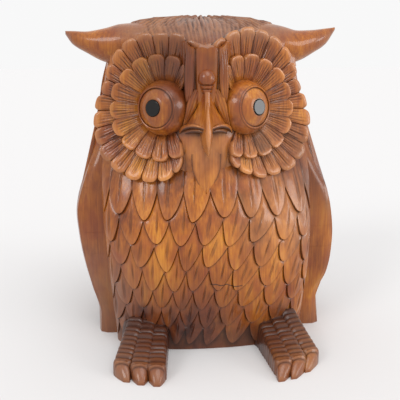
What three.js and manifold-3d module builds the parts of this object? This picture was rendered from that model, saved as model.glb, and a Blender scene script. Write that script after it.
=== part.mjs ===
// A carved wooden owl, cut from one block of hardwood, with two round inlaid pupils.
// Millimetres. +Z is up, the owl faces -Y, and +X is its left side, on the right as it is looked at.
// The origin is the middle of the box around the owl, at the height of the flat underside that it stands on.
import * as THREE from "three";
import { mergeVertices } from "three/addons/utils/BufferGeometryUtils.js";
import Module from "manifold-3d";

// Driving sizes of the block
const HEIGHT = 300;
const OFF_MIDDLE = -2; // the body's middle line from the middle of the box around the owl
const EAR_RIGHT = 124.5; // the ear tufts' points from the body's middle line
const EAR_LEFT = 128;
const REACH_FRONT = 110; // the foremost claw
const BACK_BULGE = 106; // the back under its feathers
const AXIS_Y = 25; // the upright line that the crown draws in around
const FACE_X = -3.5; // the face sits a little off the body's middle line

// Rows of feathers, from the top down: the height of each row's points
const BREAST_TIPS = [129, 106, 84.5, 64, 45, 27, 8];
const BACK_TIPS = [232, 208, 184, 160, 136, 112, 88, 7];
const BREAST_FEATHERS = 9; // across a row
const FLANK_FEATHERS = 2; // and more behind the belly's edge, that lean into sight lower down
const BACK_FEATHERS = 5; // from a wing's front edge to the spine
const FEATHER_LIFT = 3.2; // how far a point stands off the row below it
const BREAST_START = 190; // the top row comes out from under the discs
const BACK_START = 262; // and at the back from under the crown
const LONGEST_POINT = 24; // from a feather's point up to the notches beside it
const POINT_ROUND = 2.3; // how round a feather's point is
const SHOULDER = 0.55; // the share of half a feather at which its outline turns to the point
const LEAN = 0.0027; // how far the feathers lean for each millimetre below the top of the lean
const LEAN_START = 140;

// Facial discs
const DISC_OUT = 36; // from the face's middle line
const DISC_TURN = 26; // degrees outwards
const DISC_TILT = 7; // degrees upwards
const DISC_DISHED_AT = 63; // the radius at which the dish has risen by its full depth
const DISC_INNER = 23; // the straight cut on the side towards the beak
const DISC_DISH = 7;
const PLATE_DEEP = 36; // the disc's plate runs this far back into the head
const OUTER_FAN = { count: 17, from: 126, to: -120, lift: 4 };
const INNER_FAN = { count: 11, from: 118, to: -127, lift: 7.5 };
const INNER_OUT = 47; // the oval of the inner petals
const INNER_UP = 45;
const PETAL_NOTCH = 3.6; // how far the notch between two petals is cut in

// Eyes
const EYE_OUT = 33.4; // from the face's middle line to the middle of the dome's base
const EYE_BACK = -33;
const EYE_Z = 223;
const EYE_TURN = 35;
const EYE_TILT = 5;
const EYE_R = 24;
const PUPIL_R = 6.7;
const PUPIL_THICK = 2.4;
const FIT_GAP = 0.3;

const wasm = await Module();
wasm.setup();
const rad = THREE.MathUtils.degToRad;
const vec = (x, y, z) => new THREE.Vector3(x, y, z);

// A smooth curve through a few [place, value] pairs.
function profile(pairs) {
  const slope = (i) => {
    const a = pairs[Math.max(i - 1, 0)];
    const b = pairs[Math.min(i + 1, pairs.length - 1)];
    return (b[1] - a[1]) / (b[0] - a[0]);
  };
  return (at) => {
    let i = 0;
    while (i < pairs.length - 2 && at > pairs[i + 1][0]) i++;
    const [x0, y0] = pairs[i];
    const [x1, y1] = pairs[i + 1];
    const span = x1 - x0;
    const t = THREE.MathUtils.clamp((at - x0) / span, 0, 1);
    const s = t * t;
    const c = s * t;
    return (
      (2 * c - 3 * s + 1) * y0 +
      (c - 2 * s + t) * span * slope(i) +
      (3 * s - 2 * c) * y1 +
      (c - s) * span * slope(i + 1)
    );
  };
}

// The same, straight from point to point and with two values.
function profileLine(rows) {
  return (at) => {
    let i = 0;
    while (i < rows.length - 2 && at > rows[i + 1][0]) i++;
    const t = (at - rows[i][0]) / (rows[i + 1][0] - rows[i][0]);
    return [1, 2].map((k) => rows[i][k] + (rows[i + 1][k] - rows[i][k]) * t);
  };
}

// The parameter at a share of a curve's length.
function arcShare(curve, low, high, share) {
  const steps = 48;
  const params = Array.from({ length: steps + 1 }, (_, i) => low + ((high - low) * i) / steps);
  const lengths = [0];
  let last = curve(low);
  for (let i = 1; i <= steps; i++) {
    const next = curve(params[i]);
    lengths.push(lengths[i - 1] + next.distanceTo(last));
    last = next;
  }
  const goal = share * lengths[steps];
  let i = 0;
  while (i < steps - 1 && lengths[i + 1] < goal) i++;
  const t = (goal - lengths[i]) / (lengths[i + 1] - lengths[i]);
  return params[i] + (params[i + 1] - params[i]) * t;
}

// A geometry as a solid: shared corners merged, slivers dropped, faces turned outwards.
function solid(geometry) {
  geometry.deleteAttribute("normal");
  geometry.deleteAttribute("uv");
  const merged = mergeVertices(geometry, 1e-3);
  const place = merged.attributes.position.array;
  const corners = [];
  const index = merged.index.array;
  for (let i = 0; i < index.length; i += 3) {
    const [a, b, c] = [index[i], index[i + 1], index[i + 2]];
    if (a !== b && b !== c && c !== a) corners.push(a, b, c);
  }
  const make = (list) =>
    new wasm.Manifold(
      new wasm.Mesh({ numProp: 3, vertProperties: place, triVerts: new Uint32Array(list) }),
    );
  const made = make(corners);
  return made.volume() > 0 ? made : make(corners.reverse());
}

// A solid skinned over closed rings, each with the same number of points, flat at both ends.
function loft(rings) {
  const around = rings[0].length;
  const points = rings.flat();
  const corners = [];
  for (let r = 0; r + 1 < rings.length; r++)
    for (let i = 0; i < around; i++) {
      const a = r * around + i;
      const b = r * around + ((i + 1) % around);
      corners.push(a, b, b + around, a, b + around, a + around);
    }
  for (const [r, way] of [[0, -1], [rings.length - 1, 1]]) {
    const middle = rings[r].reduce((sum, p) => sum.add(p), vec(0, 0, 0)).divideScalar(around);
    points.push(middle);
    for (let i = 0; i < around; i++) {
      const ends = [r * around + i, r * around + ((i + 1) % around)];
      if (way < 0) ends.reverse();
      corners.push(points.length - 1, ...ends);
    }
  }
  const geometry = new THREE.BufferGeometry().setFromPoints(points);
  geometry.setIndex(corners);
  return solid(geometry);
}

const union = (solids) => wasm.Manifold.union(solids);

// A small repeatable unevenness, from -1 to 1, as a hand leaves it.
function uneven(...seed) {
  const s = Math.sin(seed.reduce((sum, n, i) => sum + n * (12.9898 + 7.31 * i), 4.7)) * 43758.5453;
  return 2 * (s - Math.floor(s)) - 1;
}

// The block: belly in front, a wing along each side and the back, then the head.
// Half widths, and y of the front and of the back, at some heights.
const bellyHalf = profile([[0, 86], [40, 89], [100, 94], [150, 96], [190, 93], [240, 89], [268, 84]]);
const bellyFront = profile([
  [0, -44], [30, -51], [70, -56], [110, -57], [140, -54], [165, -49], [190, -44], [230, -42], [268, -43],
]);
const bellySquareness = profile([[0, 2.3], [100, 2.3], [150, 1.6], [180, 1.2], [230, 1.1], [268, 1.08]]);
const wingRight = profile([
  [0, 103], [25, 102.5], [45, 108], [76, 115], [105, 119], [130, 119.5], [162, 110], [181, 103], [205, 97],
  [240, 93], [268, 86],
]);
const wingLeft = profile([
  [0, 119], [12, 116], [36, 116], [55, 124], [75, 127.5], [105, 127.5], [142, 120.5], [160, 111], [180, 103],
  [205, 96], [240, 92], [268, 86],
]);
const wingFront = profile([[0, 0], [60, -4], [120, -6], [165, -2], [190, 5], [230, 9], [268, 10]]);
const backReach = profile([
  [0, 95], [25, 94], [70, 98], [115, 104], [150, BACK_BULGE], [190, 102], [225, 94], [250, 85], [268, 76],
]);
const BACK_SQUARENESS = 2.35;
const CROWN_Z = 268; // above this the rings draw in to the crown
const CROWN_WIDE = 84;
const CROWN_DEEP = 58;

// How far round the body the breast's lines start, the last ones hidden behind the belly's edge.
const FLANK = (2 * (BREAST_FEATHERS + FLANK_FEATHERS)) / BREAST_FEATHERS - 1;
const BEHIND = 0.05; // the room that the hidden lines take there

// The height of a rounded bow at a share of its half width: 1 in the middle, 0 at its ends.
const round = (share, power) => Math.pow(Math.max(0, 1 - Math.pow(Math.abs(share), power)), 1 / power);

// The belly's y at height z, x to the side of the middle.
function bellyY(z, x) {
  const edge = wingFront(z) - 8;
  return edge + (bellyFront(z) - edge) * round(x / bellyHalf(z), bellySquareness(z));
}

// The back's outline at height z: turn is 0 at the wing's corner and 90 at the spine.
function backPoint(z, turn, side) {
  const wide = side < 0 ? wingRight(z) : wingLeft(z);
  const start = wingFront(z) + 9;
  const c = Math.pow(Math.max(Math.cos(rad(turn)), 0), 2 / BACK_SQUARENESS);
  const s = Math.pow(Math.sin(rad(turn)), 2 / BACK_SQUARENESS);
  return vec(side * wide * c, start + (backReach(z) - start) * s, z);
}

// A point on the bare wood. Round the body, u is 0 down the middle of the breast, 1 at the belly's edge,
// 2 at the wing's front edge and 3 down the spine, and negative on the -X side.
function bare(around, z) {
  const u = THREE.MathUtils.euclideanModulo(around + 3, 6) - 3;
  const side = Math.sign(u) || 1;
  const far = Math.abs(u);
  const half = bellyHalf(z);
  if (far <= 1) {
    const share = arcShare((x) => vec(x, bellyY(z, x), 0), 0, half * 0.99, far);
    return vec(side * share, bellyY(z, share), z);
  }
  if (far >= 2) {
    const turn = arcShare((t) => backPoint(z, t, side), 0, 90, far - 2);
    return backPoint(z, turn, side);
  }
  const wide = (side < 0 ? wingRight(z) : wingLeft(z)) - 1.5;
  const front = wingFront(z);
  const path = profileLine([
    [1, half * 0.99, bellyY(z, half * 0.99)],
    [1.2, half - 1, front - 1],
    [1.75, wide - 6, front - 0.5],
    [1.93, wide, front + 3],
    [2, wide + 1.5, front + 9],
  ]);
  const [x, y] = path(far);
  return vec(side * x, y, z);
}

// A point off the bare wood, straight out from it.
function lifted(u, z, off) {
  const du = 0.02;
  const dz = 2;
  const round = bare(u + du, z).sub(bare(u - du, z));
  const rise = bare(u, z + dz).sub(bare(u, z - dz));
  return bare(u, z).addScaledVector(round.cross(rise).normalize(), off);
}

// The height of a row's lower edge: tip is the height of its points, deep how far the notches between them
// lie above, and reach the share of half a feather away from the nearest point.
const lowerEdge = (tip, deep, reach) => tip + deep * Math.pow(reach, POINT_ROUND);

// The breast's feathers lean below the upper rows, their points towards the owl's right, more so on its left.
function lean(u, z) {
  const share = THREE.MathUtils.smoothstep(u, -0.95, 0.5);
  const drop = Math.max(0, LEAN_START - z);
  const leant = u - LEAN * share * drop * Math.min(1, 0.35 + drop / 60);
  return leant > 1 ? 1 + (BEHIND * (leant - 1)) / (FLANK - 1) : leant;
}

// The places and lifts down one line of the coat, [u, z, off] each: where each row comes out from under the
// one above, and its lip. nearest(row) gives the feather the line runs over and its reach across it.
function coatLine(u, tips, start, nearest, keep, seed) {
  const line = [];
  let above = [u, start, 0];
  tips.forEach((tip, row) => {
    const { feather, reach } = nearest(row);
    const own = 1 - reach;
    const gap = (row ? tips[row - 1] : start) - tip;
    const ragged = Math.min(2, 0.09 * gap) * uneven(feather, row, seed) * own;
    const deep = Math.min(0.94 * gap, LONGEST_POINT);
    const z = Math.min(lowerEdge(tip, deep, reach) + ragged, above[1] - 1.2);
    const lip = [u + 0.022 * uneven(row, feather, seed + 7) * own * keep, Math.max(z, 1.2)];
    line.push(above);
    if (gap > 60) line.push([lip[0], (above[1] + lip[1]) / 2, FEATHER_LIFT * keep * (0.6 - 0.5 * reach)]);
    line.push([...lip, FEATHER_LIFT * keep * (1 - 0.62 * reach)]);
    above = [lip[0], lip[1] - 0.2, 0];
  });
  line.push(above);
  return line;
}

// The block under its coat of feathers, in one skin. Each feather takes four lines of the skin: its middle,
// its two shoulders and the notch beside it, and the rows are staggered by half a feather.
function body() {
  const lines = [];
  const feathered = (from, to, count, tips, start, keep, seed, sway) => {
    const half = (to - from) / count / 2;
    for (let k = 0; k < 2 * count; k++)
      for (const part of [0, k % 2 ? 1 - SHOULDER : SHOULDER]) {
        const u = from + (k + part) * half;
        const nearest = (row) =>
          (k + row) % 2 ? { feather: k + 1, reach: 1 - part } : { feather: k, reach: part };
        const line = coatLine(u, tips, start, nearest, 1, seed);
        lines.push(line.map(([at, z, off]) => [sway(at, z), z, off * keep(sway(at, z))]));
      }
  };
  const plain = (u) => {
    const steps = BACK_TIPS.length * 2 + 1;
    lines.push(Array.from({ length: steps + 1 }, (_, i) => [u, BREAST_START * (1 - i / (steps + 1)), 0]));
  };
  const shy = (u) => THREE.MathUtils.clamp((Math.abs(u) - 2) / 0.12, 0, 1);
  const inSight = (u) => THREE.MathUtils.clamp((1.02 - u) / BEHIND, 0, 1);
  const upright = (u) => u;
  feathered(-1, FLANK, BREAST_FEATHERS + FLANK_FEATHERS, BREAST_TIPS, BREAST_START, inSight, 1, lean);
  for (const u of [1.08, 1.2, 1.75, 1.93]) plain(u);
  feathered(2, 3, BACK_FEATHERS, BACK_TIPS, BACK_START, shy, 2, upright);
  feathered(-3, -2, BACK_FEATHERS, BACK_TIPS, BACK_START, shy, 3, upright);
  for (const u of [-2, -1.93, -1.75, -1.2]) plain(u);

  const rows = Math.max(...lines.map((line) => line.length));
  for (const line of lines)
    while (line.length < rows) line.splice(1, 0, line[0].map((v, i) => (v + line[1][i]) / 2));
  const rings = [lines.map(([[u]]) => bare(u, 0))];
  for (let r = rows - 1; r >= 0; r--) rings.push(lines.map((line) => lifted(...line[r])));
  rings.push(lines.map(([[u]]) => bare(u, CROWN_Z)));
  for (const share of [0.4, 0.78, 1]) {
    const z = CROWN_Z + (HEIGHT - CROWN_Z) * share;
    const wide = Math.max(round(share, 2.5), 0.3);
    const deep = Math.max(round(share, 1.6), 0.15);
    rings.push(
      lines.map(([[u]]) => {
        const p = bare(u, CROWN_Z);
        const turn = Math.atan2((p.y - AXIS_Y) / CROWN_DEEP, p.x / CROWN_WIDE);
        const oval = vec(CROWN_WIDE * Math.cos(turn), CROWN_DEEP * Math.sin(turn), 0);
        const x = p.x + (oval.x - p.x) * share;
        const y = p.y - AXIS_Y + (oval.y - p.y + AXIS_Y) * share;
        return vec(x * wide, AXIS_Y + y * deep, z);
      }),
    );
  }
  return loft(rings);
}

// Tail: three long feathers down the middle of the back, reaching the surface.
function tail() {
  const made = [];
  for (const [arcFromSpine, tip, half] of [[-17, 1, 11], [17, 1, 11], [0, 0.8, 12]]) {
    const rows = [0, 0.5, 0.85, 1].map((v) => {
      const z = 82 - (82 - tip) * v;
      const y = backReach(z) + 0.4 + 3.4 * v + (arcFromSpine === 0 ? 1.8 : 0);
      const wide = half * (1 - 0.35 * v * v);
      const x = arcFromSpine * (1 + 0.12 * v);
      return [
        vec(x - wide, y - 1.4, z),
        vec(x, y, z),
        vec(x + wide, y - 1.4, z),
        vec(x + wide, y - 12, z),
        vec(x - wide, y - 12, z),
      ];
    });
    made.push(loft(rows));
  }
  return made;
}

// Facial discs: a dished plate with two rings of round-ended petals. Angles run from straight out (0) to
// up (90).
function discPlace(side) {
  const middle = vec(side * DISC_OUT, EYE_BACK, EYE_Z);
  const out = vec(side * Math.cos(rad(DISC_TURN)), Math.sin(rad(DISC_TURN)), 0);
  const face = vec(
    side * Math.sin(rad(DISC_TURN)) * Math.cos(rad(DISC_TILT)),
    -Math.cos(rad(DISC_TURN)) * Math.cos(rad(DISC_TILT)),
    Math.sin(rad(DISC_TILT)),
  );
  const up = face.clone().cross(out).multiplyScalar(side).normalize();
  if (up.z < 0) up.negate();
  return (radius, angle, off) => {
    const dish = DISC_DISH * Math.pow(radius / DISC_DISHED_AT, 2) - 1;
    return middle
      .clone()
      .addScaledVector(out, radius * Math.cos(rad(angle)))
      .addScaledVector(up, radius * Math.sin(rad(angle)))
      .addScaledVector(face, dish + off);
  };
}

// The disc's edge by angle, as it was drawn on the block, for each side of the owl.
const DISC_EDGE = {
  "-1": profile([
    [-120, 46], [-110, 56.6], [-95, 62.3], [-75, 65.5], [-50, 68], [-25, 66], [0, 60.3], [17, 57.3],
    [40, 60.8], [60, 64], [90, 63], [125, 63.7],
  ]),
  1: profile([
    [-120, 46], [-110, 54], [-95, 58.5], [-75, 64.5], [-42, 70.6], [-15, 66.6], [10, 60.3], [25, 59],
    [50, 64.2], [85, 67.2], [125, 64],
  ]),
};

// Below, on the side towards the beak, both rings of petals are cut straight.
function cutStraight(angle, reach) {
  const across = Math.cos(rad(angle));
  return angle < 0 && across < 0 ? Math.min(reach, DISC_INNER / -across) : reach;
}

const outerEdge = (side, angle) => cutStraight(angle, DISC_EDGE[side](angle));
const innerEdge = (side, angle) =>
  cutStraight(angle, 1 / Math.hypot(Math.cos(rad(angle)) / INNER_OUT, Math.sin(rad(angle)) / INNER_UP));

// A ring of round-ended petals in one piece, a groove between each and the next.
function fan(place, { count, from, to, lift }, edge, side) {
  const step = (from - to) / count;
  const sections = [];
  for (let k = 0; k < count; k++)
    for (const [part, short, groove] of [[0, PETAL_NOTCH, 1], [0.26, 0.2, 0], [0.74, 0.2, 0]]) {
      const angle = from - step * (k + part);
      const end = edge(side, angle) - short + (part ? 0.8 * uneven(side, k, count) : 0);
      sections.push([angle, end, groove]);
    }
  sections.push([to, edge(side, to) - PETAL_NOTCH, 1]);
  return loft(
    sections.map(([angle, end, groove]) => [
      place(end * 0.42, angle, -1),
      place(end * 0.8, angle, lift - 1.7 * groove),
      place(end, angle, lift * 0.85 - 1.2 * groove),
      place(end - 0.5, angle, -3),
    ]),
  );
}

function disc(side) {
  const place = discPlace(side);
  const plate = [[0, -PLATE_DEEP], [0.88, -PLATE_DEEP], [0.92, -6], [0.91, 0.4], [0, 0.4]];
  const turns = [-160, -130, -110, -90, -65, -40, -15, 10, 35, 60, 80, 100, 120, 150];
  return [
    loft(
      plate.map(([share, off]) =>
        turns.map((turn) => {
          const inner = Math.abs(turn) > 125 ? 0.45 : 1; // the side towards the beak is cut short
          return place(Math.max(share, 0.01) * inner * outerEdge(side, turn), turn, off);
        }),
      ),
    ),
    fan(place, OUTER_FAN, outerEdge, side),
    fan(place, INNER_FAN, innerEdge, side),
  ];
}

// Brow: a plain upright panel between the discs, with a long petal on each side of it.
const BROW_PANEL = 9.5; // half the panel's width, out to a groove
const BROW_HALF = 17;

function brow() {
  const stops = [0, 4.7, 8.4, BROW_PANEL, 10.6, 13.5, BROW_HALF];
  const across = [...stops.slice(1).map((x) => -x).reverse(), ...stops];
  return loft(
    across.map((x) => {
      const far = Math.abs(x);
      const valley = far === BROW_PANEL || far === BROW_HALF ? 1 : 0;
      const front = -55.5 + 0.5 * Math.max(0, far - 6);
      const top = 273 + 0.09 * Math.pow(Math.max(0, far - BROW_PANEL), 2) - valley;
      return [
        vec(x * 0.8, front + 5 + valley, 222),
        vec(x, front + 1.7 + 1.7 * valley, 248),
        vec(x, front + 0.3 + 1.7 * valley, top),
        vec(x, front + 24, top + 3),
        vec(x * 0.8, front + 26, 222),
      ];
    }),
  );
}

// Two leaves on each side between the beak and the eye: z, near and far x, and y of the front at both.
const CHEEK_LEAVES = [
  [
    [272.6, 10.8, 17, -51, -49.5], [260, 10.4, 18, -52.5, -51.5], [247, 10.4, 18.5, -53, -52.5],
    [236, 12, 18.2, -52.5, -52.5], [229.5, 16, 17.4, -50, -51],
  ],
  [
    [240, 4.4, 10.4, -50, -51], [233, 5.4, 15.2, -50, -52], [226, 7.6, 17.4, -50, -53],
    [219, 11.4, 18.4, -49.5, -53], [212, 15.4, 19.8, -48.5, -51.5], [207.5, 18, 20.5, -47, -48.5],
  ],
];

function cheeks() {
  return [-1, 1].flatMap((side) =>
    CHEEK_LEAVES.map((leaf) =>
      loft(
        leaf.map(([z, near, far, nearFront, farFront]) => [
          vec(side * near, nearFront, z),
          vec((side * (near + far)) / 2, Math.min(nearFront, farFront) - 0.7, z),
          vec(side * far, farFront, z),
          vec(side * far, -35, z),
          vec(side * near, -35, z),
        ]),
      ),
    ),
  );
}

// The broad feather below the beak.
function bib() {
  return loft(
    [[199, 7], [184, 12.4], [170, 11.6], [159, 6.6], [151, 0.6]].map(([z, half]) => {
      const front = bellyFront(z) - 2 - 0.055 * (199 - z);
      return [
        vec(-half, front + 2.6, z),
        vec(0, front, z),
        vec(half, front + 2.6, z),
        vec(half, front + 16, z),
        vec(-half, front + 16, z),
      ];
    }),
  );
}

// Eyes: a turned dome with a lipped iris and a flat seat for the pupil, about its own axis.
function eyeAxis(side) {
  const base = vec(side * EYE_OUT, EYE_BACK, EYE_Z);
  const axis = vec(
    side * Math.sin(rad(EYE_TURN)) * Math.cos(rad(EYE_TILT)),
    -Math.cos(rad(EYE_TURN)) * Math.cos(rad(EYE_TILT)),
    Math.sin(rad(EYE_TILT)),
  );
  return { base, axis, turn: new THREE.Quaternion().setFromUnitVectors(vec(0, 1, 0), axis) };
}

const SEAT_H = 20.4; // the pupil's seat above the dome's base
const LIP_R = 17.6;
const LIP_H = 15.9;

function eye(side) {
  const { base, turn } = eyeAxis(side);
  const points = [new THREE.Vector2(0, -12), new THREE.Vector2(EYE_R, -12), new THREE.Vector2(EYE_R, 0)];
  for (const share of [0.33, 0.67]) {
    const angle = Math.asin(LIP_H / EYE_R) * share;
    points.push(new THREE.Vector2(EYE_R * Math.cos(angle), EYE_R * Math.sin(angle)));
  }
  points.push(
    new THREE.Vector2(LIP_R, LIP_H),
    new THREE.Vector2(LIP_R - 1.3, LIP_H - 1.2),
    new THREE.Vector2(13, 17.9),
    new THREE.Vector2(PUPIL_R + 1.2, SEAT_H),
    new THREE.Vector2(0, SEAT_H),
  );
  const dome = new THREE.LatheGeometry(points, 16);
  dome.applyQuaternion(turn).translate(base.x, base.y, base.z);
  return solid(dome);
}

function pupilShape(side, radius, from, to) {
  const { base, axis, turn } = eyeAxis(side);
  const plug = new THREE.CylinderGeometry(radius, radius, to - from, 16);
  const middle = base.addScaledVector(axis, (from + to) / 2);
  return plug.applyQuaternion(turn).translate(middle.x, middle.y, middle.z);
}

// Beak: a keeled ridge from a small knob between the eyes, over two flared nostril flanks, to a hooked point.
function beak() {
  const knob = loft(
    [
      [256, 3, -53, -55.5],
      [253, 6.6, -52, -59],
      [248, 8.2, -52, -61.5],
      [243, 7.4, -51, -60.5],
      [239, 4.6, -51, -58],
    ].map(([z, half, middle, front]) =>
      Array.from({ length: 8 }, (_, i) => {
        const turn = (i * Math.PI) / 4;
        return vec(half * Math.cos(turn), middle + (middle - front) * Math.sin(turn), z);
      }),
    ),
  );
  const ridge = loft(
    [
      [240, 4, -50, -57.5],
      [226, 7.6, -50.5, -60.5],
      [217.5, 12.4, -50, -63],
      [211, 17.5, -48.5, -65.3],
      [209, 19, -46, -66],
      [206, 18, -43, -65.5],
    ].map(([z, half, root, keel]) => [
      vec(-half, root, z),
      vec(-half * 0.42, root * 0.45 + keel * 0.55, z),
      vec(-2.2, keel + 1.2, z),
      vec(0, keel, z),
      vec(2.2, keel + 1.2, z),
      vec(half * 0.42, root * 0.45 + keel * 0.55, z),
      vec(half, root, z),
      vec(half * 0.8, -25, z),
      vec(-half * 0.8, -25, z),
    ]),
  );
  const hook = loft(
    [
      [230, 2.4, -50, -61.5],
      [212, 5.8, -48, -66.4],
      [203, 5.8, -50, -68.5],
      [195, 4.2, -54, -69],
      [185.5, 0.5, -64, -67],
    ].map(([z, half, root, keel]) => [
      vec(-half, root, z),
      vec(-half * 0.55, keel + 4, z),
      vec(0, keel, z),
      vec(half * 0.55, keel + 4, z),
      vec(half, root, z),
    ]),
  );
  const lips = [-1, 1].map((side) =>
    loft(
      [
        [3, -62, 208, 2.2],
        [9, -59, 209.5, 3.2],
        [15, -54, 209, 3.6],
        [20.5, -48, 206.5, 3.4],
        [22.5, -43, 202.5, 2.6],
      ].map(([x, y, z, r]) =>
        Array.from({ length: 6 }, (_, i) => {
          const turn = (i * Math.PI) / 3;
          return vec(side * (x + 0.4 * r * Math.cos(turn)), y + r * Math.cos(turn), z + r * Math.sin(turn));
        }),
      ),
    ),
  );
  return [knob, ridge, hook, ...lips];
}

// Ear tufts: a horn that sweeps out of the crown, its top edge nearly level, its lower edge curving up to
// the point.
function ear(side) {
  const point = side < 0 ? EAR_RIGHT : EAR_LEFT;
  const top = profile([[40, 297], [60, 296], [85, 289], [105, 288.5], [118, 290], [point, 291.5]]);
  const low = profile([[40, 262], [60, 258], [85, 259], [105, 268], [118, 277], [point, 289.5]]);
  const mid = profile([[40, 18], [60, 16], [85, 14], [105, 17], [118, 22], [point, 28]]);
  const thick = profile([[40, 26], [60, 23], [85, 15], [105, 9.5], [118, 5.5], [point, 0.5]]);
  const rings = [40, 60, 75, 88, 100, 110, 118, 0.4 * 118 + 0.6 * point, point].map((x) => {
    const height = (top(x) - low(x)) / 2;
    const middle = (top(x) + low(x)) / 2;
    return Array.from({ length: 8 }, (_, i) => {
      const turn = (i * Math.PI) / 4;
      return vec(side * x, mid(x) + thick(x) * Math.cos(turn), middle + height * Math.sin(turn));
    });
  });
  return loft(rings);
}

// Feet: a leg root on the belly, and three toes with cross-cut scutes that end in blunt claws.
const SCUTES = 5;
const TOE_HALF = 7.7;
const KNUCKLE_HIGH = 13.5;
const LEG_WIDE = 21;
const LEG_DEEP = 15;

function toe(root, knuckle, claw, half) {
  const rings = [];
  const wayX = knuckle.x - root.x;
  const wayY = knuckle.y - root.y;
  const run = Math.hypot(wayX, wayY);
  const arch = (x, y, top, wide) =>
    [[-1, 0], [-0.9, 0.84], [0, 1], [0.9, 0.84], [1, 0]].map(([across, up]) =>
      vec(x + (wayY / run) * across * wide, y - (wayX / run) * across * wide, top * up),
    );
  for (let k = 0; k < SCUTES; k++)
    for (const [part, swell] of [[0.08, 0.9], [0.62, 1.06]]) {
      const t = (k + part) / SCUTES;
      const wide = half * (0.92 + 0.14 * t) * (0.5 + 0.5 * swell);
      const top = (root.z + (knuckle.z - root.z) * Math.pow(t, 0.85)) * swell;
      rings.push(arch(root.x + wayX * t, root.y + wayY * t, top, wide));
    }
  const clawX = claw.x + (knuckle.x - claw.x) * 0.45;
  const clawY = claw.y + (knuckle.y - claw.y) * 0.4;
  rings.push(arch(knuckle.x, knuckle.y, knuckle.z * 0.8, half * 0.86));
  rings.push(arch(clawX, clawY, knuckle.z * 0.6, half * 0.66));
  rings.push(arch(claw.x, claw.y, 1.8, half * 0.38));
  return loft(rings);
}

function foot(rootMiddle, toes) {
  const made = toes.map(([rootX, rootY, rootZ, kneeX, kneeY, clawX, clawY]) =>
    toe(vec(rootX, rootY, rootZ), vec(kneeX, kneeY, KNUCKLE_HIGH), vec(clawX, clawY, 0), TOE_HALF),
  );
  const leg = loft(
    [[0, 1, 0], [16, 1, 1], [24, 0.95, 4], [30, 0.8, 8]].map(([z, share, back]) =>
      Array.from({ length: 10 }, (_, i) => {
        const turn = (i * Math.PI) / 5;
        const x = rootMiddle.x + LEG_WIDE * share * Math.cos(turn);
        return vec(x, rootMiddle.y + back + LEG_DEEP * share * Math.sin(turn), z);
      }),
    ),
  );
  return [...made, leg];
}

function feet() {
  return [
    ...foot(vec(-59, -40, 0), [
      [-67, -42, 36, -79.8, -86, -76.2, -97.5],
      [-56.5, -43, 33.5, -64.9, -93, -64.1, -103.5],
      [-46, -44, 30, -50.7, -96, -51, -107],
    ]),
    ...foot(vec(64, -38, 0), [
      [53.5, -42, 28, 59, -98, 54, -REACH_FRONT],
      [64.5, -41, 32, 72.5, -93, 65.5, -107],
      [75.5, -40, 35.5, 87, -82.3, 80, -97],
    ]),
  ];
}

const SIDES = [-1, 1];
const face = union([...SIDES.flatMap((side) => [...disc(side), eye(side)]), brow(), ...cheeks(), ...beak()]);
const sockets = SIDES.map((side) =>
  solid(pupilShape(side, PUPIL_R + FIT_GAP, SEAT_H - PUPIL_THICK + 0.6 - FIT_GAP, SEAT_H + 5)),
);
const carved = union([
  body(),
  bib().translate([FACE_X, 0, 0]),
  ...tail(),
  ...SIDES.map(ear),
  ...feet(),
  face.subtract(union(sockets)).translate([FACE_X, 0, 0]),
]);
const FLOOR = 400;
const underFloor = solid(new THREE.BoxGeometry(FLOOR, FLOOR, FLOOR).translate(0, 0, -FLOOR / 2));
const SMALLEST = 0.8; // details finer than this are merged away
const cut = carved.subtract(underFloor).translate([OFF_MIDDLE, 0, 0]).simplify(SMALLEST);
// The largest closed surface is the owl's own; the others are small hollows left between feathers.
const owlSolid = cut.decompose().sort((a, b) => b.volume() - a.volume())[0];

function meshOf(made, name, material) {
  const { vertProperties, triVerts } = made.getMesh();
  const geometry = new THREE.BufferGeometry();
  geometry.setAttribute("position", new THREE.BufferAttribute(vertProperties, 3));
  geometry.setIndex(new THREE.BufferAttribute(triVerts, 1));
  geometry.computeVertexNormals();
  const mesh = new THREE.Mesh(geometry, material);
  mesh.name = name;
  return mesh;
}

const wood = new THREE.MeshStandardMaterial({ color: 0x9c5f2c, roughness: 0.42, metalness: 0 });
const glossBlack = new THREE.MeshStandardMaterial({ color: 0x15120f, roughness: 0.06, metalness: 0 });

const owl = new THREE.Group();
owl.add(meshOf(owlSolid, "carved_owl", wood));
for (const [side, name] of [[-1, "right_pupil"], [1, "left_pupil"]]) {
  const inlay = pupilShape(side, PUPIL_R, SEAT_H - PUPIL_THICK + 0.6, SEAT_H + 0.6);
  inlay.translate(FACE_X + OFF_MIDDLE, 0, 0);
  const mesh = new THREE.Mesh(inlay, glossBlack);
  mesh.name = name;
  owl.add(mesh);
}

export default owl;
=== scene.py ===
"""A carved wooden owl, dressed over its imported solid. Sizes are in millimetres, and the mesh in metres."""
import math

import bpy
import numpy as np
from mathutils import Matrix, Vector


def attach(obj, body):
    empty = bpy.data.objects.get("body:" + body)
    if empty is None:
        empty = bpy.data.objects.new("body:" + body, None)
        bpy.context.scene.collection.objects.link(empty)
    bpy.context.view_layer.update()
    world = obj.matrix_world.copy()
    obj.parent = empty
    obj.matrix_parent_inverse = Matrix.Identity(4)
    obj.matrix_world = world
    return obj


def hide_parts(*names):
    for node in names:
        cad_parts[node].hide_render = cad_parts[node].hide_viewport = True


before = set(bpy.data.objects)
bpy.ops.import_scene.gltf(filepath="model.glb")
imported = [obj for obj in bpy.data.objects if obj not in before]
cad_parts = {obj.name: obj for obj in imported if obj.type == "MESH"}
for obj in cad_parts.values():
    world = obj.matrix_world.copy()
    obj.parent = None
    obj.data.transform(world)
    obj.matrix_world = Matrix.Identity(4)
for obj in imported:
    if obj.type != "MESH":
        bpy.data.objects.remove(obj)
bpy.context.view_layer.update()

MM = 0.001
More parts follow.
